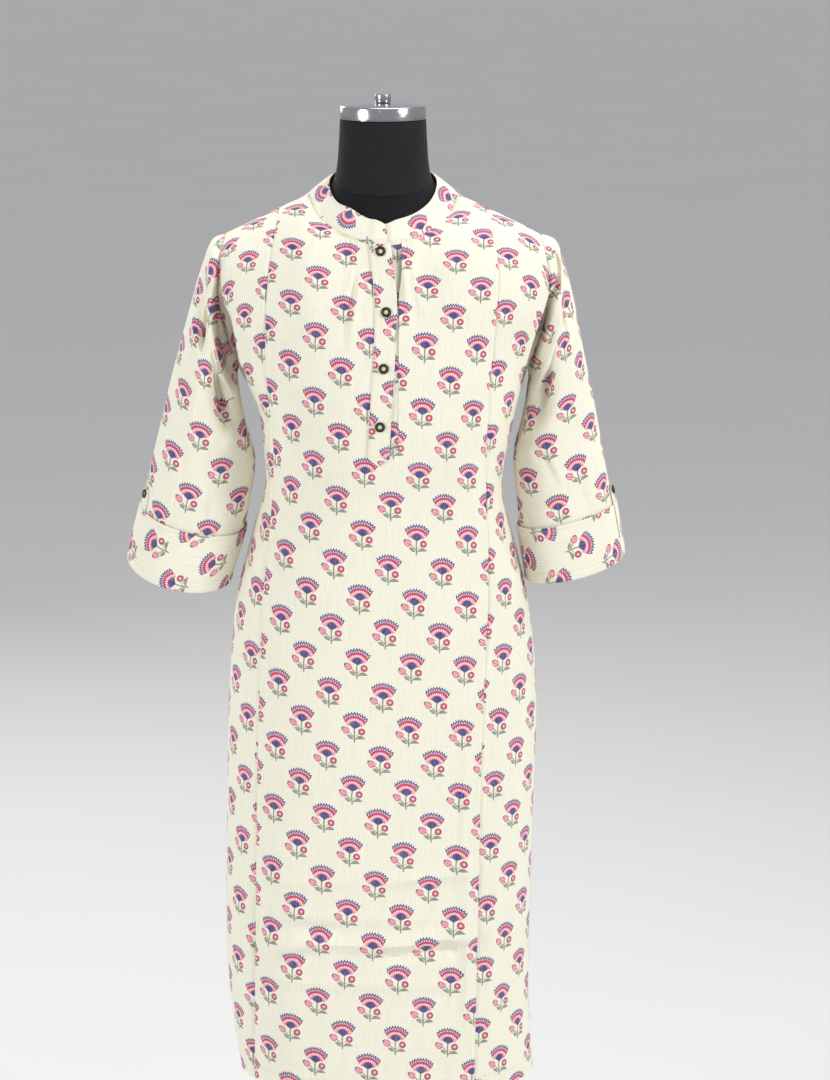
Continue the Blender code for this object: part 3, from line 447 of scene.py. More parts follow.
def place_of(turn, t):
    half, centre = half_and_centre(t)
    return centre + half * math.sin(turn)


def side_limit(t, side):
    """How far out a panel's edge goes: to the armhole, to the side seam, or short of the slit."""
    half, centre = half_and_centre(t)
    if t < 1:
        return half - SEAM_GAP / 2, centre
    row = between(BODY, "z", level_z(t))
    depth = row.front if side < 0 else row.back
    spread = SLIT_SPREAD * ease(SLIT_TOP_Z, HEM_Z, level_z(t)) if level_z(t) < SLIT_TOP_Z else 0
    back_off = (SEAM_GAP / 2 + spread / 2) / depth
    share = (1 - back_off**row.squareness) ** (1 / row.squareness)
    return half * share, centre


def princess_x(t, right):
    row = between(PRINCESS, "z", min(level_z(t), PRINCESS[0].z))
    if t < 1:
        share = ease(0.0, 0.5, t)
        row = between(PRINCESS, "z", blend(PRINCESS[0].z, level_z(t), share))
    return row.right if right else row.left


def oval_point(turn, half, side_z, depth, end_z):
    """A place on an oval that rises or falls to its ends: turn 0 is centre front."""
    z = blend(side_z, end_z, abs(math.cos(turn)))
    return Vector((half * math.sin(turn), -depth * math.cos(turn), z))


def neckline_point(turn, top):
    """A point of the collar's foot (top 0) or edge (top 1): turn 0 is centre front."""
    foot, edge = (NECK_BACK_DEPTH, NECK_BACK_Z), (COLLAR_TOP_BACK_DEPTH, COLLAR_TOP_BACK_Z)
    if math.cos(turn) > 0:
        foot, edge = (NECK_FRONT_DEPTH, NECK_FRONT_Z), (COLLAR_TOP_FRONT_DEPTH, COLLAR_TOP_FRONT_Z)
    foot = oval_point(turn, NECK_HALF, NECK_SIDE_Z, *foot)
    return foot.lerp(oval_point(turn, COLLAR_TOP_HALF, COLLAR_TOP_SIDE_Z, *edge), top)


def collar_normal(turn):
    across = neckline_point(turn + 0.01, 0.5) - neckline_point(turn - 0.01, 0.5)
    rise = neckline_point(turn, 1.0) - neckline_point(turn, 0.0)
    return across.cross(rise).normalized()


# Creases pressed or hung into the cloth: from one point to another across the body, side -1 front
Crease = namedtuple("Crease", "side x_from z_from x_to z_to width height")
Stroke = namedtuple("Stroke", "x_from z_from x_to z_to width height")
CREASES = (
    Crease(-1, -0.166, 0.496, -0.080, 0.519, 0.0085, 0.0054),
    Crease(-1, -0.104, 0.518, 0.030, 0.514, 0.0075, 0.0050),
    Crease(-1, -0.010, 0.514, 0.140, 0.530, 0.0085, 0.0062),
    Crease(-1, -0.164, 0.483, -0.070, 0.503, 0.0070, -0.0040),
    Crease(-1, -0.020, 0.498, 0.135, 0.511, 0.0072, -0.0046),
    Crease(-1, -0.150, 0.534, -0.030, 0.532, 0.0070, -0.0032),
    Crease(-1, 0.078, 0.540, 0.110, 0.488, 0.0070, 0.0046),
    Crease(-1, -0.140, 0.548, 0.080, 0.549, 0.0060, 0.0024),
    Crease(-1, -0.150, 0.592, -0.010, 0.593, 0.0060, 0.0022),
    Crease(-1, -0.020, 0.592, 0.140, 0.608, 0.0065, 0.0042),
    Crease(-1, -0.170, 0.466, 0.140, 0.463, 0.0060, 0.0024),
    Crease(-1, -0.067, 0.575, -0.068, 0.325, 0.0060, 0.0018),
    Crease(-1, 0.0960, 0.840, 0.1000, 0.325, 0.0052, 0.0042),
    Crease(-1, 0.0880, 0.760, 0.0910, 0.325, 0.0050, -0.0024),
    Crease(-1, -0.152, 0.494, -0.099, 0.526, 0.0045, -0.0014),
    Crease(-1, -0.153, 0.585, -0.150, 0.500, 0.0060, -0.0035),
    Crease(-1, -0.1400, 0.600, -0.1420, 0.330, 0.0060, 0.0016),
    Crease(-1, 0.127, 0.560, 0.132, 0.330, 0.0070, 0.0022),
    Crease(-1, 0.150, 0.600, 0.152, 0.330, 0.0080, -0.0020),
    Crease(-1, -0.024, 1.330, -0.040, 1.225, 0.0050, 0.0034),
    Crease(-1, -0.033, 1.328, -0.056, 1.245, 0.0045, 0.0028),
    Crease(-1, -0.030, 1.320, -0.049, 1.235, 0.0040, -0.0022),
    Crease(-1, 0.0240, 1.335, 0.030, 1.262, 0.0030, 0.0024),
    Crease(-1, 0.0330, 1.335, 0.050, 1.250, 0.0040, 0.0024),
    Crease(-1, -0.168, 1.255, -0.120, 1.215, 0.0080, 0.0024),
    Crease(-1, 0.166, 1.250, 0.128, 1.205, 0.0080, 0.0020),
    Crease(-1, -0.150, 1.175, -0.100, 1.120, 0.0080, 0.0014),
    Crease(-1, 0.150, 1.165, 0.110, 1.110, 0.0080, 0.0014),
    Crease(-1, -0.138, 1.060, -0.060, 1.045, 0.0080, 0.0012),
    Crease(-1, 0.138, 1.050, 0.070, 1.058, 0.0080, 0.0012),
    Crease(1, -0.130, 0.512, 0.140, 0.506, 0.0045, 0.0010),
    Crease(1, -0.140, 0.596, 0.120, 0.600, 0.0050, 0.0007),
    Crease(1, 0.060, 0.800, 0.066, 0.325, 0.0070, 0.0020),
    Crease(1, -0.080, 0.740, -0.086, 0.325, 0.0070, -0.0020),
    Crease(1, -0.165, 1.240, -0.110, 1.180, 0.0090, 0.0030),
    Crease(1, 0.165, 1.245, 0.112, 1.175, 0.0090, 0.0030),
    Crease(1, -0.135, 1.070, -0.040, 1.045, 0.0080, 0.0020),
    Crease(1, 0.135, 1.060, 0.035, 1.050, 0.0080, 0.0022),
    Crease(1, -0.125, 1.025, -0.050, 1.010, 0.0080, 0.0016),
    Crease(1, 0.125, 1.020, 0.055, 1.015, 0.0080, 0.0016),
)

# Creases of the sleeves: from one place round and along to another
ArmCrease = namedtuple("ArmCrease", "turn_from along_from turn_to along_to width height")
CREASES_RIGHT = (
    ArmCrease(112, 0.60, 96, 0.74, 0.0050, -0.0022),
    ArmCrease(104, 0.62, 86, 0.76, 0.0050, 0.0016),
    ArmCrease(72, 0.74, 60, 0.85, 0.0050, -0.0018),
    ArmCrease(64, 0.70, 50, 0.86, 0.0060, 0.0014),
    ArmCrease(130, 0.30, 150, 0.48, 0.0080, 0.0030),
    ArmCrease(96, 0.12, 118, 0.34, 0.0070, -0.0026),
    ArmCrease(140, 0.52, 120, 0.66, 0.0070, 0.0022),
    ArmCrease(60, 0.24, 66, 0.50, 0.0070, 0.0016),
    ArmCrease(262, 0.20, 236, 0.44, 0.0090, 0.0030),
    ArmCrease(290, 0.46, 262, 0.66, 0.0080, -0.0022),
    ArmCrease(250, 0.62, 286, 0.76, 0.0070, 0.0018),
)
CREASES_LEFT = (
    ArmCrease(104, 0.78, 108, 0.90, 0.0055, -0.0022),
    ArmCrease(94, 0.76, 98, 0.90, 0.0055, 0.0014),
    ArmCrease(118, 0.16, 140, 0.36, 0.0080, 0.0034),
    ArmCrease(96, 0.14, 124, 0.40, 0.0070, -0.0030),
    ArmCrease(136, 0.44, 112, 0.62, 0.0070, 0.0024),
    ArmCrease(74, 0.34, 66, 0.60, 0.0070, 0.0014),
    ArmCrease(58, 0.62, 74, 0.78, 0.0060, -0.0014),
    ArmCrease(256, 0.18, 232, 0.44, 0.0090, 0.0030),
    ArmCrease(288, 0.48, 260, 0.66, 0.0080, -0.0022),
)
# Narrow fold openings beside the armholes, on top of the sleeves' deep folds
OPENINGS_RIGHT = (
    Dent(66, 0.015, 0.24, 7.0, 0.16),
    Dent(116, 0.16, 0.50, 10.0, 0.18),
)
OPENINGS_LEFT = (
    Dent(72, 0.015, 0.30, 8.0, 0.24),
    Dent(120, 0.16, 0.54, 11.0, 0.22),
)

# The deep folds between the front and the sleeves: from where to where across, and how deep
Valley = namedtuple("Valley", "z body sleeve depth")
VALLEY_LEFT = (
    Valley(1.348, 0.1850, 0.1880, 0.000),
    Valley(1.325, 0.1880, 0.1930, 0.009),
    Valley(1.300, 0.1880, 0.1965, 0.014),
    Valley(1.280, 0.1860, 0.1985, 0.026),
    Valley(1.262, 0.1785, 0.1985, 0.036),
    Valley(1.240, 0.1750, 0.1970, 0.041),
    Valley(1.212, 0.1715, 0.1920, 0.041),
    Valley(1.192, 0.1640, 0.1860, 0.034),
    Valley(1.165, 0.1580, 0.1760, 0.000),
)
VALLEY_RIGHT = (
    Valley(1.348, 0.1950, 0.1990, 0.000),
    Valley(1.325, 0.2010, 0.2080, 0.013),
    Valley(1.300, 0.1990, 0.2065, 0.015),
    Valley(1.285, 0.1930, 0.2010, 0.017),
    Valley(1.262, 0.1860, 0.1950, 0.027),
    Valley(1.232, 0.1765, 0.1870, 0.032),
    Valley(1.200, 0.1680, 0.1790, 0.020),
    Valley(1.170, 0.1600, 0.1720, 0.000),
)
VALLEY_EDGE = 0.0028

Arm = namedtuple("Arm", "side sign rings dents openings creases")
ARMS = (
    Arm("left", -1, SLEEVE_LEFT, DENTS_LEFT, OPENINGS_LEFT, CREASES_LEFT),
    Arm("right", 1, SLEEVE_RIGHT, DENTS_RIGHT, OPENINGS_RIGHT, CREASES_RIGHT),
)

# Where each piece's printed repeat starts, and how its rows and columns lean, in degrees
Chart = namedtuple("Chart", "u v row_lean column_lean")
CHARTS = {
    "front_centre": Chart(-0.0908, -0.2483, 5.23, 2.28),
    "front_side_left": Chart(0.020, -0.230, 4.0, 2.0),
    "front_side_right": Chart(0.028, -0.262, 4.0, 2.5),
    "back": Chart(0.010, -0.240, 0.0, 0.0),
    "collar": Chart(0.0472, 0.012, 0.0, 0.0),
    "placket_over": Chart(0.0035, -0.2390, 5.23, 2.28),
    "placket_under": Chart(0.004, -0.210, 4.0, 2.0),
    "sleeve_left": Chart(-0.012, 0.105, 3.0, 3.0),
    "sleeve_right": Chart(0.020, 0.120, -3.0, -3.0),
    "cuff_left": Chart(0.004, 0.0470, 8.0, 8.0),
    "cuff_right": Chart(0.001, 0.0385, -8.0, -8.0),
    "tab_left": Chart(0.0, 0.016, 0.0, 0.0),
    "tab_right": Chart(0.010, 0.010, 0.0, 0.0),
}

# Divisions: rows above the underarm, levels at the shoulder's edge and steps beside a seam
FALL_ROWS = 34
HEAD_LEVELS = (0.0009, 0.0022, 0.004, 0.007, 0.011, 0.017, 0.025, 0.035, 0.048, 0.062)
HEAD_END = 0.075
SEAM_STEPS = (0.0, 0.0006, 0.0013, 0.0022, 0.0036)
HEM_STEPS = (0.0026, 0.0010)
# How far a sewn or folded edge's roundness reaches
SEAM_ROLL = 0.0018
NECK_ROLL = 0.0016
EDGE_ROLL = 0.0012
# Slight unevenness of hanging cloth, in waves to the metre and their height
Waves = namedtuple("Waves", "across down seed height")
UNEVEN = (Waves(11.0, 5.0, 0.0, 0.0012), Waves(34.0, 19.0, 7.0, 0.00045))
BODY_SEED = 3.0
COLLAR_SEED = 21.0
STRIP_SEED = 31.0
SLEEVE_SEED = 41.0
CUFF_SEED = 55.0
# A sleeve laid flat, in metres a radian round and metres down its whole length
ARM_RADIUS = 0.06
ARM_LENGTH = 0.33
# The print's rows on the upper chest
CHEST_SLOPE_FROM = 0.035
CHEST_SLOPE_REACH = 0.090
CHEST_SLOPE_SHARE = 0.22
# Where the centre front's columns stand closer, at the gathers
GATHER_ZONE = ((-0.050, -0.022), (0.019, 0.040))
# The pocket mouths stand a little open in the side seams
POCKET_TOP_Z = 1.020
POCKET_BOTTOM_Z = 0.870
POCKET_GAPE = 0.0024
POCKET_REACH = 0.012
# The collar's band: its flat size, and the round corner of its upper end
COLLAR_CORNER_DEG = 5.5
COLLAR_RADIUS = 0.082
COLLAR_CUT = 0.0285
COLLAR_STAND = 0.028
COLLAR_TURN_END = 2 * math.pi + COLLAR_END
COLLAR_SHARES = (-0.09, -0.04, 0.0, 0.03, 0.07, 0.12)
COLLAR_SHARES += (0.2, 0.3, 0.4, 0.5, 0.6, 0.7, 0.8, 0.88, 0.93, 0.97, 1.0)
# The neck cover's join, and its groove
NECK_JOIN_Z = 1.4166
NECK_JOIN_FRONT = 0.0116
NECK_JOIN_BACK = 0.0074


def size_property(name, default, description):
    return FloatProperty(name=name, description=description, default=default, unit="LENGTH")


def colour_property(name, default, description):
    return FloatVectorProperty(name=name, description=description, default=default, subtype="COLOR")


class KurtaSizes(bpy.types.PropertyGroup):
    """Sizes of the cloth, the print and the sewing."""

    repeat_width: size_property("Repeat width", 0.0640, "Distance between motifs in a row")
    repeat_height: size_property("Repeat height", 0.0767, "Distance between rows of motifs")
    cloth: size_property("Cloth", 0.0008, "Thickness of one layer of the cotton")
    band: size_property("Band", 0.0014, "Thickness of the collar and the upper strip")
    seam_dip: size_property("Seam dip", 0.0017, "How far the cloth rolls in at a seam")
    cell: size_property("Cell", 0.0058, "Size of the cloth's divisions")
    stitch_length: size_property("Stitch length", 0.0024, "Length of a stitch")
    stitch_gap: size_property("Stitch gap", 0.0012, "Distance between two stitches")
    stitch_radius: size_property("Stitch radius", 0.00024, "Half the thread's thickness")
    hem_depth: size_property("Hem depth", 0.018, "Height of the hem's stitching")
    round_steps: IntProperty(
        name="Round steps", description="Divisions round the turned pieces", default=96, min=24, max=256
    )


class KurtaColours(bpy.types.PropertyGroup):
    """Colours of the print, the cloth and the hard pieces, in linear light."""

    cream: colour_property("Cream", (0.875, 0.850, 0.700), "The cotton's ground")
    slub: colour_property("Slub", (0.74, 0.735, 0.585), "Threads that show darker")
    violet: colour_property("Violet", (0.050, 0.036, 0.235), "The flower's toothed edge")
    calyx: colour_property("Calyx", (0.070, 0.046, 0.215), "The flower's heart")
    crimson: colour_property("Crimson", (0.60, 0.028, 0.120), "The flower's deep pink band")
    pink: colour_property("Pink", (0.70, 0.170, 0.300), "Strokes of the petals")
    pale_pink: colour_property("Pale pink", (0.80, 0.42, 0.52), "The petals' fine streaks")
    ring: colour_property("Ring", (0.44, 0.016, 0.105), "The round bud's rim")
    leaf: colour_property("Leaf", (0.195, 0.215, 0.170), "Stem and leaves")
    form: colour_property("Form cover", (0.009, 0.010, 0.0115), "The dress form's cover")
    bronze: colour_property("Bronze", (0.045, 0.040, 0.018), "The buttons' metal")
    pearl: colour_property("Pearl", (0.74, 0.72, 0.58), "The buttons' centre")


def sizes():
    return bpy.context.scene.kurta_sizes


def colours():
    return bpy.context.scene.kurta_colours


class Term:
    """A socket or a number in a material's maths."""

    def __init__(self, net, value):
        self.net = net
        self.value = value

    def join(self, operation, *others):
        values = [self, *others]
        made = self.net.node("ShaderNodeMath", {"operation": operation}, dict(enumerate(values)))
        return Term(self.net, made.outputs[0])

    def __add__(self, other):
        return self.join("ADD", other)

    def __sub__(self, other):
        return self.join("SUBTRACT", other)

    def __mul__(self, other):
        return self.join("MULTIPLY", other)

    def __truediv__(self, other):
        return self.join("DIVIDE", other)

    def __radd__(self, other):
        return Term(self.net, other).join("ADD", self)

    def __rsub__(self, other):
        return Term(self.net, other).join("SUBTRACT", self)

    def __rmul__(self, other):
        return Term(self.net, other).join("MULTIPLY", self)

    def __abs__(self):
        return self.join("ABSOLUTE")

    def step(self, low, high):
        """0 below low, 1 above high, and smooth between."""
        made = self.net.node(
            "ShaderNodeMapRange",
            {"interpolation_type": "SMOOTHSTEP"},
            {"Value": self, "From Min": low, "From Max": high},
        )
        return Term(self.net, made.outputs[0])

    def below(self, limit, soft=0.25):
        """1 where this is below a limit, with a soft edge."""
        return 1 - self.step(limit - soft, limit + soft)


class Net:
    """One material, and the nodes that it is made of."""

    def __init__(self, name):
        self.material = bpy.data.materials.new(name)
        self.material.use_nodes = True
        self.tree = self.material.node_tree
        self.shader = self.tree.nodes["Principled BSDF"]

    def node(self, kind, settings=None, sockets=None):
        """A node of a type, with its settings made first and then its sockets' values or links."""
        made = self.tree.nodes.new(kind)
        for name, value in (settings or {}).items():
            setattr(made, name, value)
        for name, value in (sockets or {}).items():
            self.feed(made.inputs[name], value)
        return made

    def feed(self, socket, value):
        """Sets a socket to a value, or links it to another one."""
        value = value.value if isinstance(value, Term) else value
        if isinstance(value, bpy.types.NodeSocket):
            self.tree.links.new(value, socket)
        else:
            socket.default_value = value

    def mix(self, first, second, share):
        """A colour between two colours."""
        sockets = {0: share}
        for place, colour in ((6, first), (7, second)):
            sockets[place] = colour if isinstance(colour, bpy.types.NodeSocket) else (*colour, 1.0)
        made = self.node("ShaderNodeMix", {"data_type": "RGBA"}, sockets)
        return made.outputs[2]

    def place(self):
        """Where a point lies on its piece."""
        return self.node("ShaderNodeTexCoord").outputs["Object"]

    def split(self, vector):
        """The three numbers of a vector."""
        parts = self.node("ShaderNodeSeparateXYZ", {}, {0: vector})
        return [Term(self, parts.outputs[i]) for i in range(3)]

    def noise(self, vector, scale, detail=2.0, roughness=0.5):
        sockets = {"Vector": vector, "Scale": scale, "Detail": detail, "Roughness": roughness}
        return Term(self, self.node("ShaderNodeTexNoise", {}, sockets).outputs[0])

    def scaled(self, vector, factors):
        made = self.node("ShaderNodeVectorMath", {"operation": "MULTIPLY"}, {0: vector, 1: factors})
        return made.outputs[0]

    def bump(self, height, strength, distance):
        sockets = {"Height": height, "Strength": strength, "Distance": distance}
        self.put("Normal", self.node("ShaderNodeBump", {}, sockets).outputs[0])

    def put(self, socket, value):
        """Sets or links one socket of the shader."""
        self.feed(self.shader.inputs[socket], value)


def far(x, y):
    """The distance of a place from the origin."""
    return (x * x + y * y).join("SQRT")


def off_centre(repeats):
    """How far a place is from the nearest whole repeat."""
    return repeats - repeats.join("ROUND")


def segment_distance(x, y, start, end):
    """How far a place in the motif is from a straight stroke, and its share along the stroke."""
    across, up = end[0] - start[0], end[1] - start[1]
    square = across * across + up * up
    along = ((x - start[0]) * across + (y - start[1]) * up) * (1 / square)
    along = along.join("MAXIMUM", 0.0).join("MINIMUM", 1.0)
    away_x = x - start[0] - along * across
    away_y = y - start[1] - along * up
    return far(away_x, away_y), along


# The flower: its tilt, half the angle of its fan at a distance from the calyx tip in
# millimetres, how much wider the fan is for each millimetre nearer, half the calyx's angle,
# and the pitch of the teeth, of the ripple of the bands and of the petals
FLOWER_TILT_DEG = 1.5
FAN_HALF_DEG = 49.5
FAN_REACH = 19.0
FAN_BULGE_DEG = 1.9
CALYX_HALF_DEG = 58
TOOTH_DEG = 10.2
RIPPLE_DEG = 11.5
PETAL_DEG = 12.5
# How far the calyx tip lies below the middle of the motif's field
FLOWER_RISE = 6.0


def print_layers(net, chart, pick):
    """The block print's colours and masks, lowest first, from a chart in repeats.

    Inside a motif x and y are in millimetres from the tip of the calyx, and reach and turn are
    the same place as a distance and an angle.
    """
    width, height = sizes().repeat_width * 1000, sizes().repeat_height * 1000
    wobble = net.noise(chart, 9.0, 2.0)
    p, q, _ = net.split(chart)
    near_p, near_q = off_centre(p), off_centre(q)
    far_p, far_q = off_centre(p - 0.5), off_centre(q - 0.5)
    first = (abs(near_p) + abs(near_q)).join("LESS_THAN", 0.5)
    ink = (wobble - 0.5) * 1.0
    x = (near_p * first + far_p * (1 - first)) * width + ink
    y = (near_q * first + far_q * (1 - first)) * height + FLOWER_RISE + ink
    reach = far(x, y)
    turn = x.join("ARCTAN2", y) - math.radians(FLOWER_TILT_DEG)
    spread = math.radians(FAN_HALF_DEG) + (FAN_REACH - reach) * math.radians(FAN_BULGE_DEG)
    fan = (reach * (abs(turn) - spread)).below(0.0, 0.35)
    tooth, ripple, petal = (
        (turn * (2 / math.radians(pitch))).join("PINGPONG", 1.0)
        for pitch in (TOOTH_DEG, RIPPLE_DEG, PETAL_DEG)
    )
    hatch = (turn * 34.0 + reach * 0.9).join("SINE").step(-0.3, 0.6)

    layers = []
    ground = fan * reach.step(7.6, 8.2) * reach.below(16.6, 0.8)
    speckle = net.noise(chart, 34.0, 2.0).step(0.40, 0.62)
    layers.append((pick.pink, ground * (0.80 + 0.18 * hatch)))
    layers.append((pick.crimson, ground * speckle * 0.35))
    dashes = abs(reach - 15.6 - 0.9 * tooth).below(0.70, 0.4) * fan
    layers.append((pick.cream, dashes * (0.35 + 0.45 * petal)))
    arc = abs(reach - 13.3 - 1.3 * ripple).below(1.15, 0.35) * fan
    layers.append((pick.crimson, arc * 0.96))
    light = abs(reach - 11.1).below(1.1, 0.4) * fan * petal.step(0.25, 0.50)
    layers.append((pick.cream, light * 0.95))
    streaks = abs(reach - 9.4 - 0.5 * ripple).below(0.40, 0.3) * fan
    layers.append((pick.pale_pink, streaks * 0.8))
    wide_fan = (reach * (abs(turn) - spread) - 0.4).below(0.0, 0.4)
    zigzag = abs(reach - 16.4 - 3.1 * tooth).below(1.45, 0.35) * wide_fan
    layers.append((pick.violet, zigzag * 0.97))
    cup = (reach * (abs(turn) - math.radians(CALYX_HALF_DEG)) - 0.3).below(0.0, 0.4)
    calyx = cup * (reach + abs(turn) * 1.6).below(9.2, 0.4)
    layers.append((pick.calyx, calyx * 0.96))
    layers.append((pick.violet, calyx * wobble.step(0.48, 0.62) * 0.5))

    # The stem, the stalk of the tilted bud, the twig of the round one and the two leaves
    stem = abs(x - 0.30 * (y * 0.3).join("SINE")).below(0.72, 0.25) * y.below(1.0)
    stem = stem * y.step(-16.9, -16.3)
    stalk, _ = segment_distance(x, y, (-7.4, -4.2), (-0.6, -10.2))
    twig, _ = segment_distance(x, y, (5.2, -5.6), (0.3, -9.6))
    strokes = stem.join("MAXIMUM", stalk.below(0.55, 0.25))
    strokes = strokes.join("MAXIMUM", twig.below(0.4, 0.25) * 0.7)
    for start, end, full, wave in (
        ((-0.9, -13.2), (-9.0, -8.7), 1.8, -0.7),
        ((0.5, -12.8), (13.0, -11.2), 1.9, 2.0),
    ):
        away, along = segment_distance(x, y - wave * (x * 0.24).join("SINE"), start, end)
        swell = (along * math.pi).join("SINE") * full + 0.15
        vein = 0.72 + 0.22 * away.step(0.1, 0.6)
        strokes = strokes.join("MAXIMUM", (away - swell).below(0.0, 0.25) * vein)
    layers.append((pick.leaf, strokes))
    layers.append((pick.pink, far(x - 1.7, y + 12.9).below(0.8, 0.3) * 0.8))

    # The tilted bud, with streaks and a dark tip
    bud_x, bud_y = x + 11.0, y + 2.2
    along, across = bud_y * 0.55 - bud_x * 0.84, bud_x * 0.55 + bud_y * 0.84
    slim = across * (1.06 + 0.05 * along)
    bud = (along * along * 0.74 + slim * slim).join("SQRT")
    whole = bud.below(4.3, 0.3)
    layers.append((pick.pink, whole * 0.92))
    streak = (across * 2.1 + 0.5 * along.join("SINE")).join("SINE").step(0.0, 0.6)
    layers.append((pick.cream, streak * bud.below(3.3, 0.5) * 0.50))
    layers.append((pick.crimson, abs(bud - 4.0).below(0.42, 0.25) * across.below(0.5, 1.5) * 0.7))
    layers.append((pick.calyx, whole * along.step(3.1, 3.7) * 0.93))
    # The round bud: a ring with a pale heart
    berry_x, berry_y = x - 8.3, y + 3.1
    berry = far(berry_x, berry_y)
    layers.append((pick.ring, berry.below(4.2, 0.3) * 0.95))
    layers.append((pick.pale_pink, berry.below(2.0, 0.4) * 0.80))
    layers.append((pick.cream, far(berry_x - 0.3, berry_y - 0.3).below(1.0, 0.4) * 0.75))
    return layers


def cotton(name, faded=0.0):
    """Printed cotton; faded is how far the print is lost, as on the cloth's reverse."""
    if name in bpy.data.materials:
        return bpy.data.materials[name]
    net, pick = Net(name), colours()
    chart = net.node("ShaderNodeUVMap", {"uv_map": "print"}).outputs[0]
    slub = net.noise(net.scaled(chart, (52.0, 2.6, 1.0)), 1.0, 3.0, 0.6)
    weft = net.noise(net.scaled(chart, (3.2, 64.0, 1.0)), 1.0, 2.0, 0.6)
    cloud = net.noise(chart, 0.9, 2.0)
    thick = slub.step(0.44, 0.72) * 0.62 + weft.step(0.50, 0.80) * 0.26
    ground = net.mix(pick.cream, pick.slub, thick)
    ground = net.mix(ground, (0.80, 0.79, 0.66), cloud.step(0.35, 0.80) * 0.25)
    keep = (1 - faded) * (0.86 + 0.14 * slub.step(0.30, 0.55))
    for colour, mask in print_layers(net, chart, pick):
        ground = net.mix(ground, colour, mask * keep)
    net.put("Base Color", ground)
    net.put("Roughness", 0.80 + 0.12 * slub)
    net.put("Specular IOR Level", 0.30)
    net.put("Sheen Weight", 0.12)
    net.put("Sheen Roughness", 0.55)
    fine = net.noise(net.scaled(chart, (150.0, 150.0, 1.0)), 1.0, 1.0)
    net.bump(slub * 0.7 + weft * 0.4 + fine * 0.5, 0.55, 0.0005)
    return net.material


def plain_thread():
    """Off-white sewing thread."""
    if "sewing_thread" in bpy.data.materials:
        return bpy.data.materials["sewing_thread"]
    net = Net("sewing_thread")
    place = net.place()
    twist = net.noise(net.scaled(place, (900.0, 900.0, 900.0)), 1.0, 1.0)
    net.put("Base Color", net.mix((0.80, 0.78, 0.66), (0.62, 0.60, 0.48), twist))
    net.put("Roughness", 0.62 + 0.2 * twist)
    net.put("Sheen Weight", 0.2)
    return net.material


# Waves of the form's knit to the metre, times two pi
KNIT_ROWS = 4200.0


def form_cover():
    """The form's charcoal cover, a fine matt weave."""
    net = Net("form_cover")
    place = net.place()
    x, y, z = net.split(place)
    knit = ((x + y) * KNIT_ROWS).join("SINE") * (z * KNIT_ROWS).join("SINE")
    lint = net.noise(place, 60.0, 4.0, 0.7)
    pills = net.noise(place, 900.0, 2.0, 0.6)
    deep, light = colours().form, (0.020, 0.022, 0.023)
    shade = lint.step(0.35, 0.8) * 0.35 + pills.step(0.5, 0.8) * 0.4 + knit.step(-0.2, 1.0) * 0.25
    # Below its join the neck's cover is darker, with a seam at centre front
    front = y.join("LESS_THAN", 0.0)
    lean = abs(y) * (x * x + y * y + 1e-6).join("POWER", -0.5)
    over = z - NECK_JOIN_Z - lean * ((1 - front) * NECK_JOIN_BACK - front * NECK_JOIN_FRONT)
    lower = over.below(0.0, 0.0004)
    dark = abs(over).below(0.0007, 0.0005)
    middle = abs(x).below(0.0005, 0.0004) * lower * front
    cloth = net.mix(net.mix(deep, light, shade), (0.0035, 0.0040, 0.0048), lower * 0.75)
    net.put("Base Color", net.mix(cloth, (0.0012, 0.0012, 0.0014), dark.join("MAXIMUM", middle) * 0.9))
    net.put("Roughness", 0.74 + 0.16 * lint)
    net.put("Specular IOR Level", 0.22)
    net.put("Sheen Weight", 0.04)
    net.put("Sheen Roughness", 0.5)
    net.bump(knit * 0.4 + pills * 0.6, 0.4, 0.0003)
    return net.material


def chrome_finish():
    """Polished chrome with faint rub marks."""
    net = Net("rubbed_chrome")
    place = net.place()
    rub = net.noise(net.scaled(place, (40.0, 40.0, 420.0)), 1.0, 3.0, 0.6)
    smear = net.noise(place, 22.0, 3.0)
    net.put("Base Color", net.mix((0.46, 0.46, 0.47), (0.30, 0.30, 0.31), smear.step(0.4, 0.8) * 0.5))
    net.put("Metallic", 1.0)
    net.put("Roughness", 0.09 + 0.12 * rub.step(0.35, 0.8) + 0.06 * smear)
    net.bump(rub, 0.05, 0.0002)
    return net.material


def enamel_finish():
    """Satin black stove enamel."""
    net = Net("satin_enamel")
    place = net.place()
    peel = net.noise(place, 240.0, 2.0)
    dust = net.noise(place, 14.0, 4.0, 0.7)
    net.put("Base Color", net.mix((0.022, 0.022, 0.024), (0.055, 0.054, 0.052), dust.step(0.5, 0.8)))
    net.put("Roughness", 0.32 + 0.22 * dust)
    net.put("Coat Weight", 0.2)
    net.bump(peel, 0.12, 0.0003)
    return net.material


def bronze_finish():
    """Dark antique bronze, bright where it has been rubbed."""
    net = Net("antique_bronze")
    place = net.place()
    spots = net.noise(place, 700.0, 3.0, 0.6)
    worn = net.noise(place, 1500.0, 2.0)
    net.put("Base Color", net.mix(colours().bronze, (0.16, 0.145, 0.080), spots.step(0.45, 0.75)))
    net.put("Metallic", 0.85)
    net.put("Roughness", 0.34 + 0.3 * spots)
    net.bump(worn, 0.5, 0.0002)
    return net.material


def pearl_finish():
    """A pale pearly disc."""
    net = Net("pearl")
    place = net.place()
    cloud = net.noise(place, 500.0, 3.0, 0.6)
    net.put("Base Color", net.mix(colours().pearl, (0.42, 0.39, 0.27), cloud.step(0.40, 0.80)))
    net.put("Roughness", 0.25 + 0.2 * cloud)
    net.put("Coat Weight", 0.4)
    return net.material


def lay_out(piece):
    """Makes one object the only one selected, and the active one."""
    bpy.ops.object.select_all(action="DESELECT")
    piece.select_set(True)
    bpy.context.view_layer.objects.active = piece


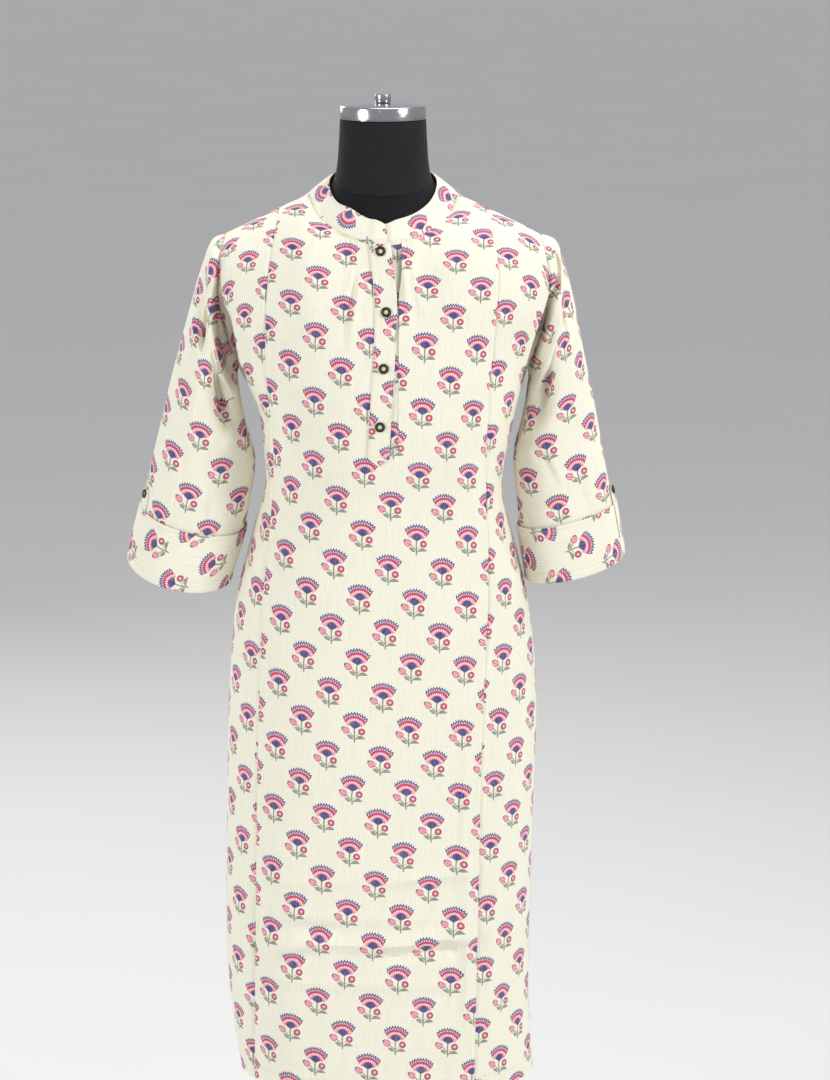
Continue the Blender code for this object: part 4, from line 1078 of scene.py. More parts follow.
def finished(piece, node=None, finish=None):
    """Ties a piece to the body, with its finish, in place of its solid where it has one."""
    if finish:
        piece.data.materials.append(finish)
    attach(piece, "root")
    if node:
        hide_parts(node)


def new_piece(name, points, edges, faces):
    """A mesh of its own, in the scene."""
    data = bpy.data.meshes.new(name)
    data.from_pydata(points, edges, faces)
    piece = bpy.data.objects.new(name, data)
    bpy.context.scene.collection.objects.link(piece)
    return piece


def smoothed(piece, sharp_deg):
    """Shades a piece smooth, but for its edges sharper than an angle."""
    piece.data.shade_smooth()
    piece.data.set_sharp_from_angle(angle=math.radians(sharp_deg))


def in_edit(work, **settings):
    """One edit-mode operator on all of the active piece."""
    bpy.ops.object.mode_set(mode="EDIT")
    bpy.ops.mesh.select_all(action="SELECT")
    work(**settings)
    bpy.ops.object.mode_set(mode="OBJECT")


def middle_line(grid):
    """The points on the form's axis that a grid's rows go round."""
    return [Vector((0.0, 0.0, row[0].z)) for row in grid]


def raised(grid, relief, inside, closed=False):
    """A grid of points moved out along its own outward directions by a height for each point."""
    rows, columns = len(grid), len(grid[0])
    moved = []
    for i, row in enumerate(grid):
        above, below = grid[max(i - 1, 0)], grid[min(i + 1, rows - 1)]
        line = []
        for j, point in enumerate(row):
            before = row[(j - 1) % columns if closed else max(j - 1, 0)]
            after = row[(j + 1) % columns if closed else min(j + 1, columns - 1)]
            normal = (after - before).cross(below[j] - above[j])
            normal.normalize()
            if normal.dot(point - inside[i]) < 0:
                normal = -normal
            line.append(point + normal * relief[i][j])
        moved.append(line)
    return moved


# How much of the print is lost on the cloth's reverse, and the angle past which its rims are sharp
REVERSE_FADE = 0.62
SHARP_CLOTH_DEG = 40


def sew(name, grid, chart, inside, wall, closed=False, skip=()):
    """A sheet of cloth from a grid: its face, its reverse and its rims."""
    rows, columns = len(grid), len(grid[0])
    cells = [
        (i, j)
        for i in range(rows - 1)
        for j in range(columns if closed else columns - 1)
        if (i, j) not in skip
    ]
    used = {}
    faces, marks, facing = [], [], 0.0
    for i, j in cells:
        k = (j + 1) % columns
        corners = ((i, j), (i, k), (i + 1, k), (i + 1, j))
        faces.append([used.setdefault(c, len(used)) for c in corners])
        marks.append((chart[i][j], chart[i][j + 1], chart[i + 1][j + 1], chart[i + 1][j]))
        a, b, c = grid[i][j], grid[i][k], grid[i + 1][j]
        facing += (b - a).cross(c - a).dot(a - inside[i])
    if facing < 0:
        faces = [face[::-1] for face in faces]
        marks = [mark[::-1] for mark in marks]
    points = [grid[i][j] for i, j in used]
    outward = [Vector() for _ in points]
    edges = {}
    for face, mark in zip(faces, marks):
        a, b, c, d = (points[v] for v in face)
        normal = (c - a).cross(d - b)
        for k, v in enumerate(face):
            outward[v] += normal
            edges[v, face[(k + 1) % 4]] = (mark[k], mark[(k + 1) % 4])
    count, shown = len(points), len(faces)
    points += [p - n.normalized() * wall for p, n in zip(points, outward)]
    faces += [[v + count for v in face[::-1]] for face in faces]
    marks += [mark[::-1] for mark in marks]
    for (a, b), (mark_a, mark_b) in edges.items():
        if (b, a) not in edges:
            faces.append([b, a, a + count, b + count])
            marks.append((mark_b, mark_a, mark_a, mark_b))
    piece = new_piece(name, points, [], faces)
    layer = piece.data.uv_layers.new(name="print")
    layer.data.foreach_set("uv", [value for mark in marks for place in mark for value in place])
    piece.data.materials.append(cotton("block_print"))
    piece.data.materials.append(cotton("block_print_reverse", REVERSE_FADE))
    piece.data.polygons.foreach_set("material_index", [int(i >= shown) for i in range(len(faces))])
    smoothed(piece, SHARP_CLOTH_DEG)
    return piece


def drawn_up(rise):
    """The print's rows lie closer together on the sloping upper chest."""
    if rise < CHEST_SLOPE_FROM:
        return rise
    over = rise - CHEST_SLOPE_FROM
    part = over - CHEST_SLOPE_REACH / 2
    if over < CHEST_SLOPE_REACH:
        part = over * over / (2 * CHEST_SLOPE_REACH)
    return rise + CHEST_SLOPE_SHARE * part


def chart_of(name, plain, quarter=0):
    """The print's chart of a piece, in repeats, from its plain places in metres."""
    if name.startswith(("front", "placket")):
        plain = [[(u, drawn_up(v)) for u, v in line] for line in plain]
    start = CHARTS[name]
    width, height = sizes().repeat_width, sizes().repeat_height
    row, column = math.radians(start.row_lean), math.radians(start.column_lean)
    across = (width * math.cos(row), -width * math.sin(row))
    up = (height * math.sin(column), height * math.cos(column))
    area = across[0] * up[1] - across[1] * up[0]
    found = []
    for line in plain:
        marks = []
        for u, v in line:
            u, v = u - start.u, v - start.v
            if quarter:
                u, v = quarter * v, -quarter * u
            marks.append(((u * up[1] - v * up[0]) / area, (v * across[0] - u * across[1]) / area))
        found.append(marks)
    return found


def cloth(piece, node, plain, held, rests_on):
    """Works out what flat size a sheet was cut to, on its own flat chart, but keeps it nowhere, and
    ties the sheet to its solid.
    """
    us = [u for line in plain for u, _ in line]
    vs = [v for line in plain for _, v in line]
    width, length = max(us) - min(us), max(vs) - min(vs)
    area = 0.0
    for upper, lower in zip(plain, plain[1:]):
        for a, b, c, d in zip(upper, upper[1:], lower[1:], lower):
            area += abs((c[0] - a[0]) * (d[1] - b[1]) - (d[0] - b[0]) * (c[1] - a[1])) / 2
    area = min(area, width * length)
    finished(piece, node)


def crease_height(strokes, x, z):
    """The height that a table of creases gives at a place."""
    height = 0.0
    for stroke in strokes:
        across, down = stroke.x_to - stroke.x_from, stroke.z_to - stroke.z_from
        square = across * across + down * down
        share = ((x - stroke.x_from) * across + (z - stroke.z_from) * down) / square
        share = min(1.0, max(0.0, share))
        away = math.hypot(x - stroke.x_from - share * across, z - stroke.z_from - share * down)
        if away > 3 * stroke.width:
            continue
        fade = ease(0.0, 0.18, share) * (1 - ease(0.72, 1.0, share))
        height += stroke.height * fade * bell(away, stroke.width)
    return height


def ruffled(x, z, seed, fine=1.0):
    """Slight unevenness of hanging cloth."""
    height = 0.0
    for waves in UNEVEN:
        place = Vector((x * waves.across, seed + waves.seed, z * waves.down))
        height += noise.noise(place) * waves.height
    return height * fine


def edge_shares(width, cell):
    """Places from 0 to 1 across a width, closer together at the seams."""
    end = [width - s for s in reversed(SEAM_STEPS)]
    wide = end[0] - SEAM_STEPS[-1]
    count = max(1, round(wide / cell))
    middle = [SEAM_STEPS[-1] + wide * i / count for i in range(1, count)]
    return [s / width for s in (*SEAM_STEPS, *middle, *end)]


def cloth_levels(extra=()):
    """Levels of a panel's rows, from the shoulder or neck down to the hem."""
    top = (1 - math.cos(math.pi * HEAD_END)) / 2
    levels = list(HEAD_LEVELS)
    levels += [math.acos(1 - 2 * fall) / math.pi for fall in spaced(top, 1.0, FALL_ROWS)]
    count = round((UNDERARM_Z - HEM_Z) / sizes().cell)
    levels += [1 + i / count for i in range(1, count)]
    levels += [level_at(HEM_Z + drop) for drop in HEM_STEPS] + [2.0]
    for level in extra:
        nearest = min(range(len(levels)), key=lambda i: abs(levels[i] - level))
        levels[nearest] = level
    return levels


def flat_places(grid, levels, columns_x, from_zero):
    """How each point of a panel lies on its flat pattern, in metres across and up."""
    break_row = min(range(len(levels)), key=lambda i: abs(levels[i] - 1.0))
    places = [None] * len(grid)
    middle = min(range(len(grid[0])), key=lambda j: abs(columns_x[break_row][j]))
    if not from_zero:
        middle = 0
    down = 0.0
    for i in range(break_row, len(grid)):
        row = grid[i]
        if i > break_row:
            down += (row[middle] - grid[i - 1][middle]).length
        run = [0.0]
        way = 1 if columns_x[i][-1] > columns_x[i][0] else -1
        for a, b in zip(row, row[1:]):
            run.append(run[-1] + way * math.hypot(b.x - a.x, b.y - a.y))
        start = run[middle] - (columns_x[i][middle] if from_zero else 0.0)
        places[i] = [(r - start, -down) for r in run]
    base = places[break_row]
    spans = []
    for j, (u, _) in enumerate(base):
        x = columns_x[break_row][j] - (0.0 if from_zero else columns_x[break_row][0])
        spans.append(u / x if abs(x) > 0.004 else 1.0)
    rise = [0.0] * len(base)
    for i in range(break_row - 1, -1, -1):
        share = ease(0.0, 1.0, levels[i])
        line = []
        for j, point in enumerate(grid[i]):
            rise[j] += (point - grid[i + 1][j]).length
            x = columns_x[i][j] - (0.0 if from_zero else columns_x[i][0])
            line.append((x * blend(1.0, spans[j], share), rise[j]))
        places[i] = line
    return places


def pocket_share(z):
    """How far open the pocket's mouth stands at a height."""
    if z >= POCKET_TOP_Z + 0.003:
        return 0.0
    below = ease(POCKET_TOP_Z + 0.003, POCKET_TOP_Z - 0.004, z)
    return below * ease(POCKET_BOTTOM_Z - 0.03, POCKET_BOTTOM_Z + 0.08, z)


def panel(name, side, columns_at, levels, seams, from_zero, skip=()):
    """One panel of the body: seams says whether its first and last edges roll into a seam."""
    own = sizes()
    columns_x = [columns_at(t) for t in levels]
    grid = [[garment_point(side, x, t) for x in row] for t, row in zip(levels, columns_x)]
    inside = middle_line(grid)
    strokes = [Stroke(*c[1:]) for c in CREASES if c.side == side]
    relief = []
    fallen = [0.0] * len(grid[0])
    for i, row in enumerate(grid):
        t, z = levels[i], level_z(levels[i])
        run = [0.0]
        for a, b in zip(row, row[1:]):
            run.append(run[-1] + (b - a).length)
        sewn = 1.0 if z > SLIT_TOP_Z else 0.0
        line = []
        for j, point in enumerate(row):
            if i:
                fallen[j] += (point - grid[i - 1][j]).length
            height = crease_height(strokes, point.x, point.z)
            height += ruffled(point.x, point.z, BODY_SEED * side)
            away = [(run[j], seams[0]), (run[-1] - run[j], seams[1])]
            for distance, kind in away:
                height *= ease(-0.004, 0.010, distance)
                roll = own.seam_dip * bell(distance, SEAM_ROLL)
                if kind == "side" and t < 1:
                    grid[i][j] = point + to_armhole(point) * roll
                elif kind == "side":
                    height -= roll * sewn
                else:
                    height -= roll
            height -= own.seam_dip * bell(fallen[j], NECK_ROLL) * ease(0.0, 0.06, abs(point.x))
            if side < 0 and abs(point.x) > 0.10:
                height += POCKET_GAPE * pocket_share(z) * bell(run[-1] - run[j], POCKET_REACH)
            hem = point.z - HEM_Z
            if hem < 0.02:
                height += 0.0005 * ease(own.hem_depth + 0.001, own.hem_depth - 0.001, hem)
            line.append(height)
        relief.append(line)
    plain = flat_places(grid, levels, columns_x, from_zero)
    if side > 0:
        plain = [[(-u, v) for u, v in line] for line in plain]
    grid = raised(grid, relief, inside)
    if side < 0:
        grid = [[sunk(point) for point in row] for row in grid]
    piece = sew(name, grid, chart_of(name, plain), inside, own.cloth, skip=skip)
    cloth(piece, name, plain, "hung", ["form_torso"])


def sewn_limit(t, side):
    """How far from its centre a panel reaches: to the armhole, to the side seam or to the slit."""
    half, centre = half_and_centre(t)
    if t < 1:
        return half - 0.0002 * (1 - ease(0.82, 1.0, t)) - 1e-8, centre
    if level_z(t) > SLIT_TOP_Z:
        return half * (1 - 1e-7), centre
    return side_limit(t, side)


def sunk(point):
    """A place of the front or a sleeve, drawn back where the deep fold between them lies."""
    table = VALLEY_RIGHT if point.x > 0 else VALLEY_LEFT
    away = abs(point.x)
    if point.y >= 0 or not table[-1].z < point.z < table[0].z or not 0.15 < away < 0.22:
        return point
    fold = between(table, "z", point.z)
    share = ease(fold.body - VALLEY_EDGE, fold.body + VALLEY_EDGE, away)
    share *= 1 - ease(fold.sleeve - VALLEY_EDGE, fold.sleeve + VALLEY_EDGE, away)
    share *= ease(0.0, 0.05, -point.y)
    return point + Vector((0.0, max(0.0, fold.depth) * share, 0.0))


def to_armhole(point):
    """The way from a place on the armhole's seam to the middle of the arm's opening."""
    return Vector((0.0, -point.y, (SHOULDER_TIP_Z + UNDERARM_Z) / 2 - point.z)).normalized()


def armhole_edge(angle, sign):
    """The panels' edge that a place round the sleeve's head is sewn to."""
    t = angle / math.pi if angle <= math.pi else (2 * math.pi - angle) / math.pi
    side = -1 if angle <= math.pi else 1
    t = min(max(t, 0.0005), 0.9995)
    return garment_point(side, sign * sewn_limit(t, side)[0], t)


def slit_left(t):
    return sway_x(t) - OVER_HALF + 0.004


def slit_right(t):
    return SLIT_RIGHT + 0.0035 * ease(1.285, 1.325, front_z(t))


def front_columns(t):
    """Places across the centre front, with the slit's edges among them."""
    left = princess_x(t, False) + 0.00003
    right = princess_x(t, True) - 0.00003
    # Below the slit its two edges run on as ordinary columns
    near, far = slit_left(t), slit_right(t)
    span = near - left
    places = [left + span * s for s in front_shares(True)]
    places += [blend(near, far, s) for s in (0.25, 0.5, 0.75)]
    span = right - far
    return places + [far + span * s for s in front_shares(False)]


@lru_cache(maxsize=None)
def front_shares(left):
    """Shares of the way across one half of the centre front, fine where the gathers are."""
    seam = PRINCESS[0].left if left else PRINCESS[0].right
    slit = SLIT_LEFT if left else SLIT_RIGHT
    near, far = GATHER_ZONE[0] if left else GATHER_ZONE[1]
    width = abs(seam - slit)
    first, last = sorted((abs(near - slit) / width, abs(far - slit) / width))
    close = spaced(0.0, first, 4)[:-1] if first > 0.01 else [0.0]
    fine = [s for s in spaced(first, last, 30)[:-1] if s > close[-1]]
    plain = spaced(last, 1 - SEAM_STEPS[-1] / width, 12)[:-1]
    shares = close + fine + plain + [1 - s / width for s in reversed(SEAM_STEPS)]
    return tuple(1 - s for s in reversed(shares)) if left else tuple(shares)


class KURTA_OT_panels(bpy.types.Operator):
    """Hang the centre front, the two side fronts and the back"""

    bl_idname = "kurta.panels"
    bl_label = "Hang the panels"

    def execute(self, context):
        slit_end = front_level_at(SLIT_BOTTOM_Z)
        levels = cloth_levels([slit_end])
        columns = front_columns(levels[0])
        first = columns.index(slit_left(levels[0]))
        last = columns.index(slit_right(levels[0]))
        skip = {(i, j) for i in range(levels.index(slit_end)) for j in range(first, last)}
        panel("front_centre", -1, front_columns, levels, (True, True), True, skip)
        cell = sizes().cell
        for name, right in (("front_side_left", False), ("front_side_right", True)):
            sign = 1 if right else -1
            shares = edge_shares(0.075, cell * 0.72)

            def side_columns(t, sign=sign, right=right, shares=shares):
                limit, centre = sewn_limit(t, -1)
                start = turn_of(princess_x(t, right) + sign * 0.00003, t)
                end = turn_of(centre + sign * limit, t)
                return [place_of(blend(start, end, s), t) for s in shares]

            panel(name, -1, side_columns, cloth_levels(), (True, "side"), False)
        shares = edge_shares(0.40, cell)

        def back_columns(t):
            limit, centre = sewn_limit(t, 1)
            end = turn_of(centre + limit, t)
            return [place_of(blend(-end, end, s), t) for s in shares]

        panel("back", 1, back_columns, cloth_levels(), ("side", "side"), True)
        return {"FINISHED"}


def collar_edge_share(turn):
    """How high the collar's top edge stands, rounded off at the end that laps over."""
    left = (COLLAR_TURN_END - turn) / math.radians(COLLAR_CORNER_DEG)
    if left >= 1:
        return 1.0
    return 1 - 0.30 * (1 - math.sqrt(max(0.0, 1 - (1 - left) ** 2)))


def collar_place(turn, share, lift=0.0):
    """A place of the band: share 0 is its foot and 1 its edge, with its lap and its lean."""
    lapped = ease(COLLAR_TURN_END - 2 * COLLAR_LAP, COLLAR_TURN_END - COLLAR_LAP, turn)
    crown = 0.0012 * (1 - (2 * share - 1) ** 2)
    share *= collar_edge_share(turn)
    wave = ruffled(turn * 0.07, share * 0.02, COLLAR_SEED, 0.5)
    away = math.degrees((turn + math.pi) % (2 * math.pi) - math.pi)
    lean = 0.0055 * bell(away + 36, 15) - 0.0040 * bell(away - 2, 8)
    place = neckline_point(turn, share) + Vector((0, 0, lean * max(share, 0.0) ** 2))
    return place + collar_normal(turn) * (0.0036 * lapped + crown + wave + lift)


class KURTA_OT_collar(bpy.types.Operator):
    """Set the band collar round the neck"""

    bl_idname = "kurta.collar"
    bl_label = "Set the collar"

    def execute(self, context):
        cells = 150
        turns = spaced(COLLAR_START, COLLAR_TURN_END, cells)
        grid, plain = [], []
        for share in COLLAR_SHARES:
            lift = 0.0008 - 0.0011 * bell(share * COLLAR_STAND, EDGE_ROLL)
            if share < 0:
                lift -= 0.0016 * ease(0.0, COLLAR_SHARES[0], share)
            lift -= 0.0005 * bell((1 - share) * COLLAR_STAND, EDGE_ROLL)
            grid.append([collar_place(turn, share, lift) for turn in turns])
            plain.append([(turn * COLLAR_RADIUS, share * COLLAR_CUT) for turn in turns])
        inside = middle_line(grid)
        half = round(cells * (math.pi - COLLAR_START) / (COLLAR_TURN_END - COLLAR_START))
        marks = chart_of("collar", plain)
        # The band is joined at centre back: its left half is cut the other way up
        for line in marks:
            for j in range(half, len(line)):
                line[j] = (-line[j][0] + 0.039, -line[j][1] + 0.62)
        piece = sew("collar", grid, marks, inside, sizes().band)
        cloth(piece, "collar", plain, "hung", ["front_centre", "back"])
        return {"FINISHED"}


def strip(name, columns_at, top_t, bottom_t, lift, point, gape, wall):
    """One strip of the placket, laid on the front, its lower end drawn down to a low point.

    gape is how far it stands off below the first button, and the power of its rise across.
    """
    rows = 64
    falls = spaced(front_z(top_t), front_z(bottom_t), rows)
    levels = [top_t, *(front_level_at(z) for z in falls[1:-1]), bottom_t]
    grid, plain, relief = [], [], []
    for i, t in enumerate(levels):
        columns = columns_at(t)
        wide = columns[-1] - columns[0]
        z = front_z(t)
        loose = gape[0] * ease(1.270, 1.305, z) * (1 - ease(1.338, 1.352, z))
        reach = ease(0.75, 1.0, i / rows) ** 2
        row, line, heights = [], [], []
        for x in columns:
            right = (x - columns[0]) / wide
            share = abs(2 * right - 1)
            sag = reach * point * (1 - share) / (UNDERARM_Z - HEM_Z)
            row.append(garment_point(-1, x, t + sag))
            line.append((x, front_z(t + sag) - UNDERARM_Z))
            rise = lift + loose * right ** gape[1]
            rise -= 0.0005 * bell((1 - share) * wide / 2, EDGE_ROLL)
            rise -= 0.0005 * bell((rows - i) * 0.0038, 0.0015)
            heights.append(rise + ruffled(x, row[-1].z, STRIP_SEED, 0.25))
        grid.append(row)
        plain.append(line)
        relief.append(heights)
    inside = middle_line(grid)
    grid = raised(grid, relief, inside)
    piece = sew(name, grid, chart_of(name, plain), inside, wall)
    cloth(piece, name, plain, "laid", ["front_centre"])


class KURTA_OT_placket(bpy.types.Operator):
    """Lay the placket's two strips down the front"""

    bl_idname = "kurta.placket"
    bl_label = "Lay the placket"

    def execute(self, context):
        own = sizes()
        shares = edge_shares(2 * OVER_HALF, 0.0024)
        under_x = [blend(UNDER_LEFT + 0.004, SLIT_RIGHT + 0.008, s) for s in shares]

        def over(t):
            return [sway_x(t) + OVER_HALF * (2 * s - 1) for s in shares]

        end = front_level_at(SLIT_BOTTOM_Z)
        strip("placket_under", lambda t: under_x, 0.02, end, -0.0013, 0.0, (-0.0030, 0), own.cloth)
        end = front_level_at(OVER_BOTTOM_Z)
        strip("placket_over", over, 0.004, end, OVER_LIFT, OVER_POINT, (0.0034, 3), own.band)
        return {"FINISHED"}


def turned_piece(name, profile, steps, seat=None):
    """Spins a profile of (radius, height) about the vertical, and stands it on its seat."""
    points = [(radius, 0.0, height) for radius, height in profile]
    piece = new_piece(name, points, [(i, i + 1) for i in range(len(points) - 1)], [])
    lay_out(piece)
    in_edit(bpy.ops.mesh.spin, steps=steps, angle=2 * math.pi, center=(0, 0, 0), axis=(0, 0, 1))
    in_edit(bpy.ops.mesh.remove_doubles, threshold=0.00001)
    in_edit(bpy.ops.mesh.normals_make_consistent, inside=False)
    smoothed(piece, 35)
    if seat is not None:
        piece.data.transform(seat)
    return piece


def rounded(profile, radius):
    """A profile with its inner corners cut by a small radius."""
    found = [profile[0]]
    for before, here, after in zip(profile, profile[1:], profile[2:]):
        for other, order in ((before, 0), (after, 1)):
            length = math.hypot(other[0] - here[0], other[1] - here[1])
            share = min(radius / length, 0.4) if length else 0.0
            place = (blend(here[0], other[0], share), blend(here[1], other[1], share))
            if order:
                pairs = zip(found[-1], place, here)
                found.append(tuple((a + b) / 2 * 0.7 + c * 0.3 for a, b, c in pairs))
            found.append(place)
    return found + [profile[-1]]


def seat_at(point, normal):
    """The placing of a piece that stands on a surface."""
    return Matrix.Translation(point) @ normal.to_track_quat("Z", "Y").to_matrix().to_4x4()


def grid_normal(side, x, t):
    """The way out of the garment's face."""
    across = garment_point(side, x + 1e-4, t) - garment_point(side, x - 1e-4, t)
    down = garment_point(side, x, t + 0.004) - garment_point(side, x, t - 0.004)
    normal = across.cross(down).normalized()
    return normal if normal.y * side > 0 else -normal


def sleeve_out(arm, angle, along):
    """The way out of a sleeve's face."""
    down = sleeve_point(arm, angle, min(along + 0.004, 1.0))
    down -= sleeve_point(arm, angle, max(along - 0.004, 0.0))
    turn = sleeve_point(arm, angle + 0.01, along) - sleeve_point(arm, angle - 0.01, along)
    return (turn.cross(down) * arm.sign).normalized()


def on_garment(side, x, t, lift=0.0):
    """A place above the garment's face, and the way out of it."""
    normal = grid_normal(side, x, t)
    return garment_point(side, x, t) + normal * lift, normal


def on_sleeve(arm, angle, along, lift=0.0):
    """A place above a sleeve's face, and the way out of it."""
    normal = sleeve_out(arm, angle, along)
    return sleeve_point(arm, angle, along) + normal * lift, normal


# A button's rim and centre, in shares of its radius and of its dome
Turn = namedtuple("Turn", "radius height")
RIM = (
    Turn(0.40, 0.30),
    Turn(0.46, 0.62),
    Turn(0.56, 0.95),
    Turn(0.66, 1.02),
    Turn(0.72, 0.86),
    Turn(0.80, 1.00),
    Turn(0.90, 0.96),
    Turn(0.99, 0.62),
    Turn(1.00, 0.42),
    Turn(0.93, 0.05),
    Turn(0.80, 0.0),
    Turn(0.40, 0.0),
    Turn(0.40, 0.30),
)
CENTRE = (Turn(0.40, 0.44), Turn(0.20, 0.56), Turn(0.0, 0.58))
CENTRE_FOOT = 0.00008
THREAD_REACH = 0.2
THREAD_HEIGHT = 0.62
THREAD_RADIUS = 0.00028


def button(node, radius, seat, bronze, pearl, thread):
    """One button: a metal rim with a beaded edge, a pearly centre and crossed threads."""
    rim = [(radius * turn.radius, BUTTON_DOME * turn.height) for turn in RIM]
    metal = turned_piece(node + "_rim", rounded(rim, 0.0001), 48, seat)
    disc = [(0.0, CENTRE_FOOT), (radius * CENTRE[0].radius, CENTRE_FOOT)]
    disc += [(radius * turn.radius, BUTTON_DOME * turn.height) for turn in CENTRE]
    centre = turned_piece(node + "_centre", disc, 32, seat)
    out, height = radius * THREAD_REACH, BUTTON_DOME * THREAD_HEIGHT
    crossed = []
    for start in (Vector((out, 0.0, height)), Vector((0.0, out, height))):
        end = Vector((-start.x, -start.y, height))
        crossed.append((seat @ start, seat @ end))
    bars = stitch_mesh(node + "_thread", crossed, THREAD_RADIUS)
    finished(metal, node, bronze)
    finished(centre, None, pearl)
    finished(bars, finish=thread)


class KURTA_OT_buttons(bpy.types.Operator):
    """Sew on the placket's four buttons and the two tabs' buttons"""

    bl_idname = "kurta.buttons"
    bl_label = "Sew on the buttons"

    def execute(self, context):
        finishes = bronze_finish(), pearl_finish(), plain_thread()
        lift = 2 * (LAY_GAP + CLOTH) + LAY_GAP - CLOTH
        for i, z in enumerate(BUTTON_Z):
            t = front_level_at(z)
            seat = seat_at(*on_garment(-1, sway_x(t), t, lift))
            button(f"placket_button_{i + 1}", BUTTON_RADIUS, seat, *finishes)
        lift = 3 * LAY_GAP + TAB_CLOTH
        for arm in ARMS:
            angle = math.radians(sum(TAB_DEG[arm.side]) / 2)
            seat = seat_at(*on_sleeve(arm, angle, TAB_BUTTON_ALONG, lift))
            button(f"tab_button_{arm.side}", TAB_BUTTON_RADIUS, seat, *finishes)
        return {"FINISHED"}


def ring_centre(arm, along):
    ring = between(arm.rings, "along", along)
    x, z = (ring.outer_x + ring.inner_x) / 2, (ring.outer_z + ring.inner_z) / 2
    return Vector((arm.sign * x, 0.0, z))


def tube_places(grid, sign, front):
    """How a tube's points lie flat: across from its front column, and up from its lower end."""
    columns = len(grid[0])
    rise = [0.0] * columns
    places = []
    for i in range(len(grid) - 1, -1, -1):
        row = grid[i]
        if i < len(grid) - 1:
            for j in range(columns):
                rise[j] += (row[j] - grid[i + 1][j]).length
        run = [0.0]
        for j in range(columns):
            k = (j + 1) % columns
            step, climb = (row[k] - row[j]).length, rise[k] - rise[j]
            run.append(run[-1] + math.sqrt(max(step * step - climb * climb, (0.3 * step) ** 2)))
        across = [-sign * (r - run[front]) for r in run]
        places.append([(u, rise[j % columns]) for j, u in enumerate(across)])
    return places[::-1]


def flat_strokes(arm):
    """A sleeve's creases, in metres round and down it."""
    found = []
    for c in arm.creases:
        start = (math.radians(c.turn_from) * ARM_RADIUS, c.along_from * ARM_LENGTH)
        end = (math.radians(c.turn_to) * ARM_RADIUS, c.along_to * ARM_LENGTH)
        found.append(Stroke(*start, *end, c.width, c.height))
    return found


def sleeve_relief(arm, strokes, angle, along):
    """How far a sleeve's creases and unevenness stand out at a place."""
    down = along * ARM_LENGTH
    seed = SLEEVE_SEED + arm.sign + math.sin(angle)
    height = crease_height(strokes, angle * ARM_RADIUS, down)
    height += ruffled(math.cos(angle) * ARM_RADIUS, down, seed, 1.3)
    return height * ease(0.0, 0.05, along) * (1 - ease(0.80, 0.90, along))


class KURTA_OT_sleeves(bpy.types.Operator):
    """Set in the two sleeves"""

    bl_idname = "kurta.sleeves"
    bl_label = "Set in the sleeves"

    def execute(self, context):
        around = 144
        angles = [2 * math.pi * j / around for j in range(around)]
        alongs = [0.0, 0.0005, 0.003, 0.006, 0.010, 0.015, 0.022, 0.030, 0.040]
        alongs += spaced(0.05, 0.985, 64)
        for arm in ARMS:
            arm = arm._replace(dents=arm.dents + arm.openings)
            inside = [ring_centre(arm, along) for along in alongs]
            # The head follows the armhole's seam, and its edge turns in under it
            shifts = [armhole_edge(a, arm.sign) - sleeve_point(arm, a, 0.0) for a in angles]
            out = Vector((arm.sign * 0.0002, 0, 0))
            grid = []
            for along in alongs:
                keep = 1 - ease(0.0, 0.10, along)
                pairs = zip(angles, shifts)
                grid.append([sleeve_point(arm, a, along) + shift * keep + out for a, shift in pairs])
            grid[0] = [p.lerp(inside[0], 0.06) for p in grid[0]]
            strokes = flat_strokes(arm)
            relief = [[sleeve_relief(arm, strokes, a, along) for a in angles] for along in alongs]
            plain = tube_places(grid, arm.sign, around // 4)
            grid = raised(grid, relief, inside, True)
            for i, along in enumerate(alongs):
                roll = sizes().seam_dip * bell(along * ARM_LENGTH, SEAM_ROLL)
                grid[i] = [sunk(p + to_armhole(p) * roll) for p in grid[i]]
            name = f"sleeve_{arm.side}"
            piece = sew(name, grid, chart_of(name, plain), inside, sizes().cloth, closed=True)
            cloth(piece, name, plain, "hung", ["front_side_" + arm.side, "back"])
        return {"FINISHED"}


def cuff_puff(arm, angle, along):
    """A cuff's slight unevenness."""
    return ruffled(angle * 0.05, along * 0.4, CUFF_SEED + arm.sign, 0.7)


# A cuff's rows: how far along the sleeve, how far out of it and how far below
CuffRow = namedtuple("CuffRow", "along out low")
CUFF_OUT = CUFF_LIFT + CLOTH
CUFF_FACE = (CUFF_ALONG, 0.8625, 0.866, 0.872, 0.885, 0.90, 0.915, 0.93, 0.944, SLIT_ALONG)
CUFF_FACE += (0.97, 0.98, 0.988)
CUFF_ROWS = (
    *(CuffRow(along, CUFF_OUT, 0.0) for along in CUFF_FACE),
    CuffRow(0.996, CUFF_OUT, 0.002),
    CuffRow(1.0, CUFF_OUT - 0.0002, 0.0042),
    CuffRow(1.0, CUFF_OUT - 0.0012, 0.0056),
    CuffRow(1.0, CUFF_OUT - 0.0026, 0.0058),
    CuffRow(1.0, -0.0014, 0.0042),
    CuffRow(0.994, -0.0026, 0.001),
    CuffRow(0.985, -0.0030, 0.0),
    CuffRow(0.97, -0.0030, 0.0),
    CuffRow(0.94, -0.0030, 0.0),
)


